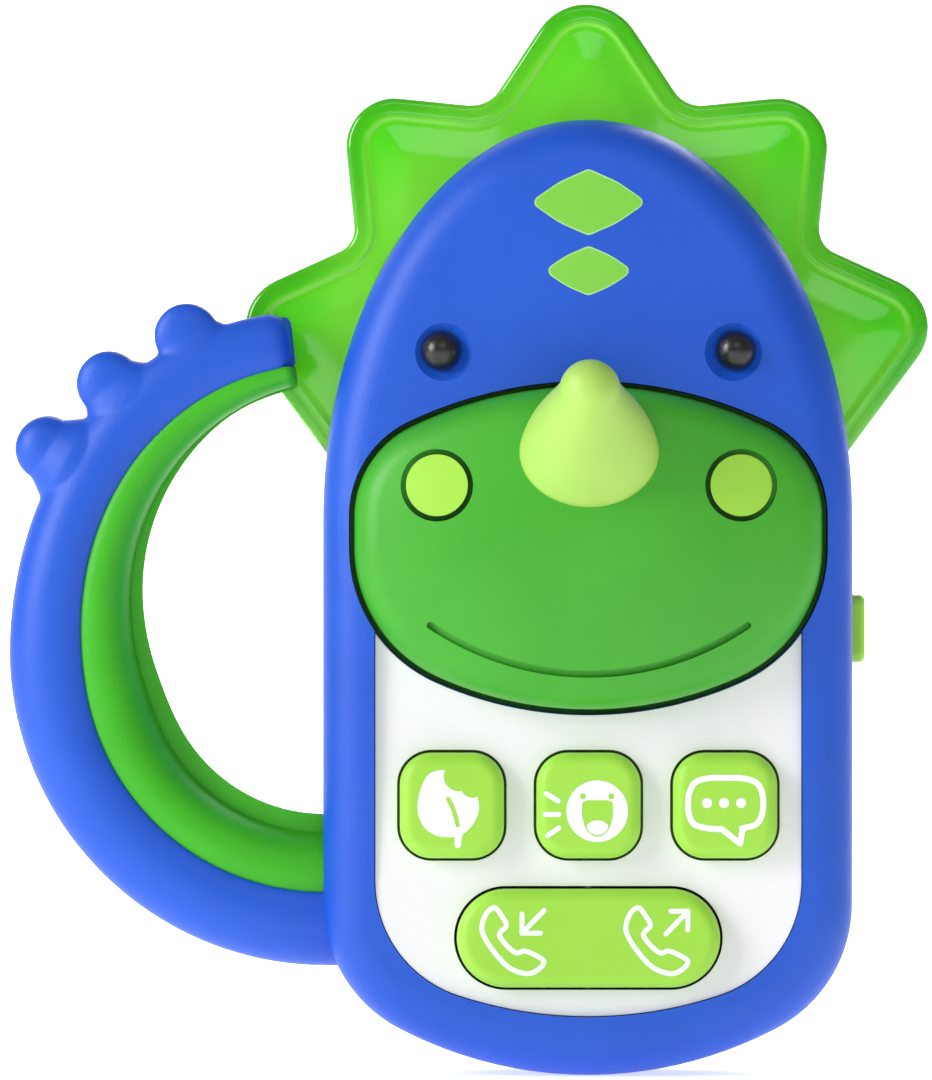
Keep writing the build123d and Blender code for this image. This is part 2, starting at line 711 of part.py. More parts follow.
with BuildPart() as front_shell:
    add(outer_face)
    add(inner_face, mode=Mode.SUBTRACT)
    # inside: keypad floor, muzzle collar, bosses and eye seats
    layer(window_profile(shell_wall, muzzle_height), floor_bottom, floor_top)
    layer(muzzle_profile(muzzle_gap + collar_thickness), collar_end, face_depth - face_wall)
    columns(housing_spots, housing_boss, parting_depth, face_depth)
    columns(frame_screw_spots, frame_boss, frame_top, face_depth)
    columns(board_screw_spots, board_boss, board_top_depth, floor_bottom)
    columns(eye_spots, eye_seat_radius, eye_depth - eye_seat_drop - 1, eye_depth - eye_dish_cut)
    blocks(lug_spots, lug_width, lug_thickness, floor_bottom - lug_drop, floor_bottom)
    add(outer_face, mode=Mode.INTERSECT)
    # openings, and the seats of the tail, the grip and the eyes
    layer(muzzle_profile(muzzle_gap), parting_depth, face_depth + 1, Mode.SUBTRACT)
    layer(window_profile(slip, muzzle_height), floor_top, face_depth + 1, Mode.SUBTRACT)
    layer(key_holes(0), floor_bottom - 0.5, face_depth, Mode.SUBTRACT)
    small_hole = small_shank + screw_gap
    housing_hole = housing_shank + screw_gap
    columns(housing_spots, housing_hole, parting_depth, parting_depth + housing_bite, Mode.SUBTRACT)
    columns(frame_screw_spots, small_hole, frame_top, frame_top + small_bite, Mode.SUBTRACT)
    columns(board_screw_spots, small_hole, board_top_depth, board_top_depth + small_bite, Mode.SUBTRACT)
    for x, z in eye_spots:
        with Locations((x, -(eye_depth + eye_dish_radius - eye_dish_cut), z)):
            Sphere(eye_dish_radius, mode=Mode.SUBTRACT)
    columns(eye_spots, eye_peg + running, eye_depth - 2 * eye_seat_drop, face_depth, Mode.SUBTRACT)
    with BuildSketch(Plane.XY.offset(rocker_row - rocker_hole[1])) as pin_hole:
        with Locations((0, -rocker_pin_depth)):
            Circle(rocker_pin_radius)
    extrude(pin_hole.sketch, amount=2 * rocker_hole[1], mode=Mode.SUBTRACT)
    add(whole_tube, mode=Mode.SUBTRACT)
    add(front_grip, mode=Mode.SUBTRACT)
    add(rear_grip, mode=Mode.SUBTRACT)
    slot_block(Mode.SUBTRACT)
front_shell.part.label = "front_shell"
export_step(front_shell.part, "parts/front_shell.step")

# ------------------------------------------------------------------ eyes
for name, x in (("eye_left", -eye_place[0]), ("eye_right", eye_place[0])):
    with BuildPart() as eye:
        with Locations((x, -(eye_depth - eye_dish_cut + eye_rise), eye_place[1])):
            Sphere(eye_radius)
        with Locations((x, -(eye_depth + eye_dish_radius - eye_dish_cut), eye_place[1])):
            Sphere(eye_dish_radius, mode=Mode.INTERSECT)
        columns([(x, eye_place[1])], eye_peg, eye_depth - eye_seat_drop - 1, eye_depth)
    eye.part.label = name
    export_step(eye.part, f"parts/{name}.step")

# ------------------------------------------------------------------ keypad plate, keys and rocker
with BuildPart() as keypad_plate:
    layer(window_profile(0, muzzle_height), floor_top, plate_depth)
    layer(muzzle_profile(muzzle_gap + slip), floor_top, plate_depth, Mode.SUBTRACT)
    layer(key_holes(0), floor_top, plate_depth, Mode.SUBTRACT)
keypad_plate.part.label = "keypad_plate"
export_step(keypad_plate.part, "parts/keypad_plate.step")

for name, x in key_spots.items():
    with BuildPart() as key:
        with BuildSketch(depth_plane(flange_bottom)):
            with Locations((x, key_row)):
                RectangleRounded(*key_size, key_rounding)
        extrude(amount=key_top - flange_bottom)
        fillet(key.faces().sort_by(Axis.Y)[0].edges(), key_edge)
        with BuildSketch(depth_plane(flange_bottom)):
            with Locations((x, key_row)):
                RectangleRounded(key_size[0] + 2 * key_flange, key_size[1] + 2 * key_flange, key_rounding)
        extrude(amount=key_flange_thickness)
        with BuildSketch(depth_plane(flange_bottom)):
            with Locations((x, key_row)):
                hollow = (key_size[0] - 2 * key_skin, key_size[1] - 2 * key_skin)
                RectangleRounded(*hollow, key_rounding - key_skin)
        extrude(amount=key_top - key_skin - flange_bottom, mode=Mode.SUBTRACT)
        columns([(x, key_row)], stem_radius, flange_bottom, key_top - key_skin)
    key.part.label = name
    export_step(key.part, f"parts/{name}.step")

rocker_bottom = rocker_pin_depth - rocker_pin_radius - rocker_skirt
with BuildPart() as call_rocker:
    with BuildSketch(depth_plane(rocker_bottom)):
        with Locations((0, rocker_row)):
            SlotOverall(*rocker_size)
    extrude(amount=key_top - rocker_bottom)
    fillet(call_rocker.faces().sort_by(Axis.Y)[0].edges(), key_edge)
    with BuildSketch(depth_plane(rocker_bottom)):
        with Locations((0, rocker_row)):
            SlotOverall(rocker_size[0] - 2 * key_skin, rocker_size[1] - 2 * key_skin)
    extrude(amount=key_top - key_skin - rocker_bottom, mode=Mode.SUBTRACT)
    columns(both_sides([(rocker_post_spacing, rocker_row)]), stem_radius, flange_bottom, key_top - key_skin)
    with BuildSketch(Plane.XY.offset(rocker_row - rocker_size[1])) as pin_bore:
        with Locations((0, -rocker_pin_depth)):
            Circle(rocker_pin_radius + running)
    extrude(pin_bore.sketch, amount=2 * rocker_size[1], mode=Mode.SUBTRACT)
call_rocker.part.label = "call_rocker"
export_step(call_rocker.part, "parts/call_rocker.step")

pin_half = rocker_hole[1] / 2 + lug_gap + lug_thickness
with BuildPart() as rocker_pin:
    with BuildSketch(Plane.XY.offset(rocker_row - pin_half)):
        with Locations((0, -rocker_pin_depth)):
            Circle(rocker_pin_radius)
    extrude(amount=2 * pin_half)
rocker_pin.part.label = "rocker_pin"
export_step(rocker_pin.part, "parts/rocker_pin.step")

# ------------------------------------------------------------------ board, membrane and chip
dome_spots = [(x, key_row) for x in key_spots.values()] + both_sides([(rocker_post_spacing, rocker_row)])

with BuildPart() as main_board:
    layer(window_profile(-board_inset, board_top), board_depth, board_top_depth)
    columns(board_screw_spots, small_shank + screw_gap, board_depth, board_top_depth, Mode.SUBTRACT)
main_board.part.label = "main_board"
export_step(main_board.part, "parts/main_board.step")

with BuildPart() as board_screws:
    tip_depth = board_top_depth + small_bite - screw_end_gap
    screws(board_screw_spots, small_head, small_head_height, small_shank, board_depth, tip_depth)
board_screws.part.label = "board_screws"
export_step(board_screws.part, "parts/board_screws.step")

with BuildPart() as sound_chip:
    blocks([(0, chip_height)], chip_size[0], chip_size[1], board_depth - chip_size[2], board_depth)
    chamfer(sound_chip.faces().sort_by(Axis.Y)[-1].edges(), 0.5)
sound_chip.part.label = "sound_chip"
export_step(sound_chip.part, "parts/sound_chip.step")

with BuildPart() as key_membrane:
    layer(window_profile(-membrane_inset, board_top - web_thickness), board_top_depth, web_top)
    for x, z in dome_spots:
        with Locations(Plane((x, -web_top, z), x_dir=(1, 0, 0), z_dir=(0, -1, 0))):
            Cone(dome_foot, dome_top, dome_height, align=(Align.CENTER, Align.CENTER, Align.MIN))
    columns(board_screw_spots, board_boss + slip, board_top_depth, web_top, Mode.SUBTRACT)
key_membrane.part.label = "key_membrane"
export_step(key_membrane.part, "parts/key_membrane.step")

# ------------------------------------------------------------------ muzzle with its horn and nostrils
muzzle_outer = muzzle_solid(0, muzzle_lip_bottom)
muzzle_inner = muzzle_solid(muzzle_wall, muzzle_lip_bottom)
muzzle_under_groove = muzzle_solid(smile_cut, muzzle_lip_bottom)
nostril_spots = both_sides([nostril_place])
spring_spots = both_sides([(spring_place, muzzle_height)])
nostril_depth = crown_depth(muzzle_apex, muzzle_across, muzzle_along, muzzle_height, nostril_place)
nostril_floor = nostril_depth - nostril_sink
spring_top = frame_top + spring_length
plunger_top = frame_top + muzzle_switch_size[1]
switch_button_top = plunger_top + muzzle_switch_button[1]
horn_rise = math.sin(math.radians(horn_tilt))
horn_run = math.cos(math.radians(horn_tilt))
horn_top = Plane((0, -horn_tip_depth, horn_tip_height), x_dir=(1, 0, 0), z_dir=(0, -horn_run, horn_rise))
horn_neck = horn_tip * math.sin(math.radians(horn_flare))
horn_neck_radius = horn_tip * math.cos(math.radians(horn_flare))
horn_foot_radius = horn_neck_radius + (horn_length + horn_neck) * math.tan(math.radians(horn_flare))


def smile_path(radius, half_angle):
    """Arc of the mouth, centred over the muzzle."""
    centre_height = smile_bottom + smile_radius
    turn = math.radians(half_angle)
    ends = [(side * radius * math.sin(turn), centre_height - radius * math.cos(turn)) for side in (-1, 1)]
    return ThreePointArc(ends[0], (0, centre_height - radius), ends[1])


with BuildPart() as smile:
    with BuildSketch(depth_plane(muzzle_lip_top)):
        with BuildLine() as mouth:
            smile_path(smile_radius, smile_half_angle)
        SlotArc(mouth.edges()[0], smile_width)
    extrude(amount=muzzle_apex - muzzle_lip_top)
    add(muzzle_under_groove, mode=Mode.SUBTRACT)

with BuildPart() as muzzle:
    add(muzzle_outer)
    layer(muzzle_profile(muzzle_gap + muzzle_lip), muzzle_lip_bottom, muzzle_lip_top)
    add(muzzle_inner, mode=Mode.SUBTRACT)
    columns([(0, muzzle_height)], stem_radius, switch_button_top + muzzle_travel + rest_gap, muzzle_apex)
    columns(spring_spots, spring_radius - spring_wire - slip, spring_top - 3, muzzle_apex)
    columns(spring_spots, spring_radius + spring_seat_wall, spring_top, muzzle_apex)
    columns(nostril_spots, nostril_radius + nostril_groove, nostril_floor - 1.2, nostril_depth)
    add(muzzle_outer, mode=Mode.INTERSECT)
    layer(muzzle_profile(muzzle_gap + muzzle_lip), muzzle_lip_bottom, muzzle_lip_top)
    layer(muzzle_profile(-muzzle_wall), muzzle_lip_bottom, muzzle_lip_top, Mode.SUBTRACT)
    columns(nostril_spots, nostril_radius + nostril_groove, nostril_floor, muzzle_apex, Mode.SUBTRACT)
    columns(nostril_spots, nostril_peg + running, nostril_floor - 3, nostril_floor, Mode.SUBTRACT)
    add(smile.part, mode=Mode.SUBTRACT)
    with Locations(horn_top.offset(-horn_length)):
        Cylinder(horn_peg + running, horn_length, mode=Mode.SUBTRACT)
muzzle.part.label = "muzzle"
export_step(muzzle.part, "parts/muzzle.step")

with BuildPart() as horn:
    with Locations(horn_top.offset(-horn_length)):
        cone_height = horn_length + horn_neck
        Cone(horn_foot_radius, horn_neck_radius, cone_height, align=(Align.CENTER, Align.CENTER, Align.MIN))
    with Locations(horn_top):
        Sphere(horn_tip)
    add(muzzle_outer, mode=Mode.SUBTRACT)
    with Locations(horn_top.offset(-horn_length)):
        Cylinder(horn_peg, horn_peg_length)
horn.part.label = "horn"
export_step(horn.part, "parts/horn.step")

for name, x in (("nostril_left", -nostril_place[0]), ("nostril_right", nostril_place[0])):
    with BuildPart() as nostril:
        columns([(x, nostril_place[1])], nostril_radius, nostril_floor, muzzle_apex)
        add(muzzle_outer, mode=Mode.INTERSECT)
        columns([(x, nostril_place[1])], nostril_peg, nostril_floor - 2.2, nostril_floor)
    nostril.part.label = name
    export_step(nostril.part, f"parts/{name}.step")

# ------------------------------------------------------------------ muzzle frame, springs and switch
with BuildPart() as muzzle_frame:
    with BuildSketch(depth_plane(frame_depth)):
        with Locations((0, frame_height)):
            RectangleRounded(*frame_size, frame_rounding)
        with Locations((0, frame_tab_height)):
            RectangleRounded(*frame_tab, frame_rounding)
    extrude(amount=frame_thickness)
    columns(frame_screw_spots, small_shank + screw_gap, frame_depth, frame_top, Mode.SUBTRACT)
muzzle_frame.part.label = "muzzle_frame"
export_step(muzzle_frame.part, "parts/muzzle_frame.step")

with BuildPart() as frame_screws:
    tip_depth = frame_top + small_bite - screw_end_gap
    screws(frame_screw_spots, small_head, small_head_height, small_shank, frame_depth, tip_depth)
frame_screws.part.label = "frame_screws"
export_step(frame_screws.part, "parts/frame_screws.step")

with BuildPart() as muzzle_springs:
    columns(spring_spots, spring_radius, frame_top, spring_top)
    columns(spring_spots, spring_radius - spring_wire, frame_top, spring_top, Mode.SUBTRACT)
muzzle_springs.part.label = "muzzle_springs"
export_step(muzzle_springs.part, "parts/muzzle_springs.step")

with BuildPart() as muzzle_switch:
    blocks([(0, muzzle_height)], muzzle_switch_size[0], muzzle_switch_size[0], frame_top, plunger_top)
    columns([(0, muzzle_height)], muzzle_switch_button[0], plunger_top, switch_button_top)
muzzle_switch.part.label = "muzzle_switch"
export_step(muzzle_switch.part, "parts/muzzle_switch.step")

# ------------------------------------------------------------------ power slider, its lever and the switch
carriage_inner = body_half - shell_wall - slider_gap - slider_flange
switch_right = switch_place[0] + switch_size[0] / 2

with BuildPart() as power_slider:
    with BuildSketch(Plane.YZ.offset(body_half + slider_gap)):
        with Locations((-parting_depth, slider_height)):
            RectangleRounded(slider_width, slider_length, slider_rounding[0])
    extrude(amount=slider_stand - slider_gap)
    fillet(power_slider.faces().sort_by(Axis.X)[-1].edges(), slider_rounding[1])
    with BuildSketch(Plane.YZ.offset(carriage_inner)):
        with Locations((-parting_depth, slider_height)):
            Rectangle(slider_neck[1], slider_neck[0])
    extrude(amount=body_half + slider_gap - carriage_inner)
    with BuildSketch(Plane.YZ.offset(carriage_inner)):
        with Locations((-parting_depth, slider_height)):
            Rectangle(slider_width, slider_length)
    extrude(amount=slider_flange)
    with BuildSketch(Plane.YZ.offset(carriage_inner)):
        with Locations((-parting_depth, slider_height)):
            Rectangle(lever_size[0], lever_size[1])
    extrude(amount=lever_bite, mode=Mode.SUBTRACT)
power_slider.part.label = "power_slider"
export_step(power_slider.part, "parts/power_slider.step")

with BuildPart() as switch_lever:
    with BuildSketch(Plane.YZ.offset(switch_right - lever_bite)):
        with Locations((-parting_depth, slider_height)):
            Rectangle(lever_size[0], lever_size[1])
    extrude(amount=carriage_inner - switch_right + 2 * lever_bite)
switch_lever.part.label = "switch_lever"
export_step(switch_lever.part, "parts/switch_lever.step")

with BuildPart() as slide_switch:
    switch_back = parting_depth - switch_size[2] / 2
    blocks([switch_place], *switch_size[:2], switch_back, switch_back + switch_size[2])
    with BuildSketch(Plane.YZ.offset(switch_right - lever_bite - slip)):
        with Locations((-parting_depth, slider_height)):
            Rectangle(lever_size[0] + 2 * slip, lever_size[1] + 2 * (slider_travel + slip))
    extrude(amount=2, mode=Mode.SUBTRACT)
slide_switch.part.label = "slide_switch"
export_step(slide_switch.part, "parts/slide_switch.step")

# ------------------------------------------------------------------ battery door and its captive screws
with BuildPart() as battery_door:
    layer(door_outline(0), 0, door_skin)
    layer(door_outline(-door_ledge), door_skin, back_wall)
    columns(door_screw_spots, door_screw_shank + running, 0, back_wall, Mode.SUBTRACT)
    columns(door_screw_spots, door_screw_head + running, 0, door_skin, Mode.SUBTRACT)
    grooves = [(0, bay_height + door_groove_pitch * row) for row in range(-2, 3)]
    blocks(grooves, *door_groove_size[:2], 0, door_groove_size[2], Mode.SUBTRACT)
battery_door.part.label = "battery_door"
export_step(battery_door.part, "parts/battery_door.step")

for name, spot in zip(("door_screw_upper", "door_screw_lower"), door_screw_spots):
    with BuildPart() as door_screw:
        head = (door_screw_head, door_screw_head_height)
        screws([spot], *head, door_screw_shank, door_skin, door_screw_length)
    door_screw.part.label = name
    export_step(door_screw.part, f"parts/{name}.step")

# ------------------------------------------------------------------ cells and contacts
cell_rows = [bay_height + side * cell_spacing / 2 for side in (1, -1)]
bay_end = bay_length / 2
cell_reach = bay_end - contact_thickness - bay_end_gap / 2

with BuildPart() as batteries:
    for row, side in zip(cell_rows, (1, -1)):
        nub_plane = Plane((side * cell_reach, -cell_depth, row), x_dir=(0, 0, 1), z_dir=(-side, 0, 0))
        with Locations(nub_plane):
            Cylinder(cell_nub_radius, cell_nub, align=(Align.CENTER, Align.CENTER, Align.MIN))
        with Locations(nub_plane.offset(cell_nub)):
            Cylinder(cell_radius, cell_length, align=(Align.CENTER, Align.CENTER, Align.MIN))
    rims = [edge for edge in batteries.edges().filter_by(GeomType.CIRCLE) if edge.radius > cell_nub_radius]
    fillet([edge for edge in rims if edge.radius > cell_radius - slip], cell_rounding)
batteries.part.label = "batteries"
export_step(batteries.part, "parts/batteries.step")

with BuildPart() as contact_plates:
    for row in cell_rows:
        for side in (-1, 1):
            middle = side * (bay_end - contact_thickness / 2)
            plate_start = cell_depth - contact_half
            plate_end = cell_depth + contact_half
            blocks([(middle, row)], contact_thickness, 2 * contact_half, plate_start, plate_end)
contact_plates.part.label = "contact_plates"
export_step(contact_plates.part, "parts/contact_plates.step")

with BuildPart() as contact_springs:
    for row, side in zip(cell_rows, (1, -1)):
        spring_foot = -side * (bay_end - contact_thickness)
        spring_end = side * (cell_reach - cell_nub - cell_length)
        seat = Plane((spring_foot, -cell_depth, row), x_dir=(0, 0, 1), z_dir=(side, 0, 0))
        with Locations(seat):
            length = abs(spring_end - spring_foot)
            from_foot = (Align.CENTER, Align.CENTER, Align.MIN)
            inside = [radius - contact_spring_wire for radius in contact_spring_radii]
            Cone(*contact_spring_radii, length, align=from_foot)
            Cone(*inside, length, align=from_foot, mode=Mode.SUBTRACT)
contact_springs.part.label = "contact_springs"
export_step(contact_springs.part, "parts/contact_springs.step")

# ------------------------------------------------------------------ speaker
speaker_spot = (0, speaker_height)
with BuildPart() as speaker:
    columns([speaker_spot], speaker_radius, back_wall, back_wall + speaker_rim)
    columns([speaker_spot], speaker_basket, back_wall + speaker_rim, back_wall + speaker_basket_deep)
    columns([speaker_spot], speaker_magnet, back_wall + speaker_basket_deep, back_wall + speaker_deep)
    basket_inside = back_wall + speaker_basket_deep - cone_wall
    columns([speaker_spot], speaker_basket - cone_wall, back_wall, basket_inside, Mode.SUBTRACT)
speaker.part.label = "speaker"
export_step(speaker.part, "parts/speaker.step")

with BuildPart() as speaker_cone:
    cone_foot = Plane((0, -back_wall - cone_wall / 2, speaker_height), x_dir=(1, 0, 0), z_dir=(0, -1, 0))
    cone_height = speaker_basket_deep - 2 * cone_wall
    with Locations(cone_foot):
        from_foot = (Align.CENTER, Align.CENTER, Align.MIN)
        Cone(speaker_basket - cone_wall, 4 * cone_wall, cone_height, align=from_foot)
        hollow = (speaker_basket - 2 * cone_wall, 3 * cone_wall, 0.8 * cone_height)
        Cone(*hollow, align=from_foot, mode=Mode.SUBTRACT)
speaker_cone.part.label = "speaker_cone"
export_step(speaker_cone.part, "parts/speaker_cone.step")

ring_top = ring_depth + speaker_ring_thickness
with BuildPart() as speaker_ring:
    with BuildSketch(depth_plane(ring_depth)):
        with Locations(speaker_spot):
            Circle(speaker_radius + cone_wall)
            SlotOverall(2 * (speaker_ears + frame_boss), 2 * frame_boss)
            Circle(speaker_basket + slip, mode=Mode.SUBTRACT)
    extrude(amount=speaker_ring_thickness)
    columns(speaker_ear_spots, small_shank + screw_gap, ring_depth, ring_top, Mode.SUBTRACT)
speaker_ring.part.label = "speaker_ring"
export_step(speaker_ring.part, "parts/speaker_ring.step")

with BuildPart() as speaker_screws:
    front_screws(speaker_ear_spots, ring_top, speaker_screw_tip)
speaker_screws.part.label = "speaker_screws"
export_step(speaker_screws.part, "parts/speaker_screws.step")

# ------------------------------------------------------------------ crest lamps
lamp_depth = lamp_seat_depth + lamp_radius
lamp_body = lamp_length - lamp_radius
lamp_feet = [
    ((-side_lamp_x + lamp_setback + lamp_length, side_lamp_height), (-1, 0, 0)),
    ((side_lamp_x - lamp_setback - lamp_length, side_lamp_height), (1, 0, 0)),
    ((0, top_lamp_height - lamp_setback - lamp_length), (0, 0, 1)),
]
with BuildPart() as crest_lamps:
    for (x, z), outward in lamp_feet:
        with Locations(Plane((x, -lamp_depth, z), x_dir=(0, 1, 0), z_dir=outward)):
            Cylinder(lamp_radius, lamp_body, align=(Align.CENTER, Align.CENTER, Align.MIN))
            with Locations((0, 0, lamp_body)):
                Sphere(lamp_radius)
crest_lamps.part.label = "crest_lamps"
export_step(crest_lamps.part, "parts/crest_lamps.step")

# ------------------------------------------------------------------ housing screws
with BuildPart() as housing_screws:
    tip_depth = parting_depth + housing_bite - screw_end_gap
    screws(housing_spots, housing_head, housing_head_height, housing_shank, housing_sink, tip_depth)
housing_screws.part.label = "housing_screws"
export_step(housing_screws.part, "parts/housing_screws.step")
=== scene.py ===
import json
import math

import bpy
import numpy as np
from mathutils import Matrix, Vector
from mathutils.geometry import delaunay_2d_cdt


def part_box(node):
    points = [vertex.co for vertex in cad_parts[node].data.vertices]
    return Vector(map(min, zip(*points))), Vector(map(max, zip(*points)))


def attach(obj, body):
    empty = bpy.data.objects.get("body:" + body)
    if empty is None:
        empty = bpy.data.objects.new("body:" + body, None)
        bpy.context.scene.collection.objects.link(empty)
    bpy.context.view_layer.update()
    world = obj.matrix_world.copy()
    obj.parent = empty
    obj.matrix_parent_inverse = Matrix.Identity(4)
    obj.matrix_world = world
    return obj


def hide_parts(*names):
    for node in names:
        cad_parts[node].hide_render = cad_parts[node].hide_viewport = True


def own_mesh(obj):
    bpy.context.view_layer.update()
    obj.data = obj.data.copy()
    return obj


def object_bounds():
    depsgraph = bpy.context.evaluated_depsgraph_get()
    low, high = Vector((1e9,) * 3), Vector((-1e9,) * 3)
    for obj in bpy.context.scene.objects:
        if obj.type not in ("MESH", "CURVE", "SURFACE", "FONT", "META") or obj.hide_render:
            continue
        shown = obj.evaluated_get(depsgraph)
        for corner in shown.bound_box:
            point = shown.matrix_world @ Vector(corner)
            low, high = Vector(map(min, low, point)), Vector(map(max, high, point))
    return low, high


# A toy telephone shaped as a dinosaur's head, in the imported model's frame: +Z up the phone, the face
# looks along -Y, the flat back lies on y = 0. Lengths below are in millimetres until a mesh is made.

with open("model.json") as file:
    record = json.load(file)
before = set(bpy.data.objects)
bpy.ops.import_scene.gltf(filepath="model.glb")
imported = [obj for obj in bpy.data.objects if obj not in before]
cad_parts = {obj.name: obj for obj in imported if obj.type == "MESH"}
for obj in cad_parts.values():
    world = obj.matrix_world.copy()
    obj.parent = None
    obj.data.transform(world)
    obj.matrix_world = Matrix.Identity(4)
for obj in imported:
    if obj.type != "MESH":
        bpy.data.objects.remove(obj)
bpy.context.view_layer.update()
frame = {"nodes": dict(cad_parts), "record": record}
nodes = frame["nodes"]
MM = 0.001


# ---------------------------------------------------------------- materials
def linear(colour):
    """An 8-bit display colour as a linear one."""
    shares = [c / 255 for c in colour]
    return tuple(((s + 0.055) / 1.055) ** 2.4 if s > 0.04045 else s / 12.92 for s in shares) + (1.0,)


def node(tree, kind, **sockets):
    made = tree.nodes.new(kind)
    for name, value in sockets.items():
        made.inputs[name.replace("_", " ")].default_value = value
    return made


def noise(tree, coords, scale, detail=2.0, roughness=0.5):
    made = node(tree, "ShaderNodeTexNoise", Scale=scale, Detail=detail, Roughness=roughness)
    tree.links.new(coords, made.inputs["Vector"])
    return made.outputs["Fac"]


def ramp(tree, value, stops):
    """Colours along a value: stops are (place, display colour)."""
    made = tree.nodes.new("ShaderNodeValToRGB")
    elements = made.color_ramp.elements
    while len(elements) < len(stops):
        elements.new(0.5)
    for element, (place, colour) in zip(elements, stops):
        element.position = place
        element.color = linear(colour)
    tree.links.new(value, made.inputs["Fac"])
    return made.outputs["Color"]


def spread(tree, value, low, high):
    """A 0 to 1 value spread over a range."""
    made = tree.nodes.new("ShaderNodeMapRange")
    made.inputs["To Min"].default_value = low
    made.inputs["To Max"].default_value = high
    tree.links.new(value, made.inputs["Value"])
    return made.outputs["Result"]


def start(name):
    made = bpy.data.materials.new(name)
    made.use_nodes = True
    tree = made.node_tree
    shader = tree.nodes["Principled BSDF"]
    coords = tree.nodes.new("ShaderNodeTexCoord").outputs["Object"]
    return made, tree, shader, coords


def bumps(tree, shader, height, strength, distance):
    bump = node(tree, "ShaderNodeBump", Strength=strength, Distance=distance)
    tree.links.new(height, bump.inputs["Height"])
    tree.links.new(bump.outputs["Normal"], shader.inputs["Normal"])


def moulded(name, dark, light, rough, grain, strength, glow=0.0, coat=0.0):
    """Satin plastic or rubber from a spark-eroded mould: a fine even grain, and a faint drift in colour."""
    made, tree, shader, coords = start(name)
    drift = noise(tree, coords, 45.0, 3.0)
    tree.links.new(ramp(tree, drift, [(0.3, dark), (0.7, light)]), shader.inputs["Base Color"])
    pores = noise(tree, coords, grain, 3.0, 0.62)
    tree.links.new(spread(tree, pores, rough - 0.07, rough + 0.07), shader.inputs["Roughness"])
    bumps(tree, shader, pores, strength, 0.00012)
    shader.inputs["Subsurface Weight"].default_value = glow
    shader.inputs["Subsurface Radius"].default_value = (0.6, 1.0, 0.4)
    shader.inputs["Subsurface Scale"].default_value = 0.0015
    shader.inputs["Coat Weight"].default_value = coat
    shader.inputs["Coat Roughness"].default_value = 0.25
    return made


def metal(name, dark, light, rough):
    """Drawn or plated steel with a fine brushed roughness."""
    made, tree, shader, coords = start(name)
    shader.inputs["Metallic"].default_value = 1.0
    drift = noise(tree, coords, 400.0, 4.0)
    tree.links.new(ramp(tree, drift, [(0.3, dark), (0.7, light)]), shader.inputs["Base Color"])
    fine = noise(tree, coords, 5000.0, 2.0)
    tree.links.new(spread(tree, fine, rough - 0.08, rough + 0.1), shader.inputs["Roughness"])
    bumps(tree, shader, fine, 0.15, 0.00005)
    return made


def clear_green():
    """Tinted clear plastic: deep at the rim, with a painted highlight line inside it and a painted glow,
    lighter over the hollow lobes near the body.
    """
    made, tree, shader, coords = start("clear_crest")
    rim = tree.nodes.new("ShaderNodeAttribute")
    rim.attribute_name = "from_rim"
    # The pale band at 0.24 of the ramp is a painted highlight along the ridge inside the rim.
    rim_bands_with_painted_highlight = [(0.0, (66, 186, 0)), (0.19, (70, 204, 0)), (0.24, (130, 232, 50)), (0.29, (88, 220, 4))]
    rim_bands_with_painted_highlight += [(0.5, (70, 222, 0)), (1.0, (96, 228, 0))]
    rim_colour_with_painted_highlight = ramp(tree, rim.outputs["Fac"], rim_bands_with_painted_highlight)
    # Painted glow: lighter lime patches near the body stand in for light shining through the clear crest.
    body = tree.nodes.new("ShaderNodeAttribute")
    body.attribute_name = "near_body"
    lobes = noise(tree, coords, 60.0, 1.0)
    tint = node(tree, "ShaderNodeMix")
    tint.data_type = "RGBA"
    share = tree.nodes.new("ShaderNodeMath")
    share.operation = "MULTIPLY"
    tree.links.new(body.outputs["Fac"], share.inputs[0])
    tree.links.new(spread(tree, lobes, 0.15, 0.95), share.inputs[1])
    tree.links.new(share.outputs[0], tint.inputs[0])
    tree.links.new(rim_colour_with_painted_highlight, tint.inputs[6])
    tint.inputs[7].default_value = linear((140, 240, 60))
    tree.links.new(tint.outputs[2], shader.inputs["Base Color"])
    shader.inputs["Roughness"].default_value = 0.16
    shader.inputs["Transmission Weight"].default_value = 0.35
    shader.inputs["IOR"].default_value = 1.46
    shader.inputs["Coat Weight"].default_value = 0.4
    shader.inputs["Coat Roughness"].default_value = 0.08
    bumps(tree, shader, noise(tree, coords, 90.0, 1.0), 0.2, 0.0006)
    return made


def cell_sleeve():
    """Battery cells: a shrink sleeve with one bright band, bare metal at both ends."""
    made, tree, shader, coords = start("cell")
    split = tree.nodes.new("ShaderNodeSeparateXYZ")
    tree.links.new(coords, split.inputs[0])
    along = tree.nodes.new("ShaderNodeMapRange")
    along.inputs["From Min"].default_value = -0.0245
    along.inputs["From Max"].default_value = 0.0245
    tree.links.new(split.outputs["X"], along.inputs["Value"])
    steel, dark, band = (190, 190, 195), (34, 36, 42), (70, 190, 90)
    stops = [(0.0, steel), (0.045, dark), (0.30, band), (0.42, dark), (0.955, steel)]
    colour = ramp(tree, along.outputs["Result"], stops)
    tree.nodes[-1].color_ramp.interpolation = "CONSTANT"
    tree.links.new(colour, shader.inputs["Base Color"])
    shader.inputs["Roughness"].default_value = 0.28
    shader.inputs["Coat Weight"].default_value = 0.5
    bumps(tree, shader, noise(tree, coords, 900.0, 2.0), 0.08, 0.0001)
    return made


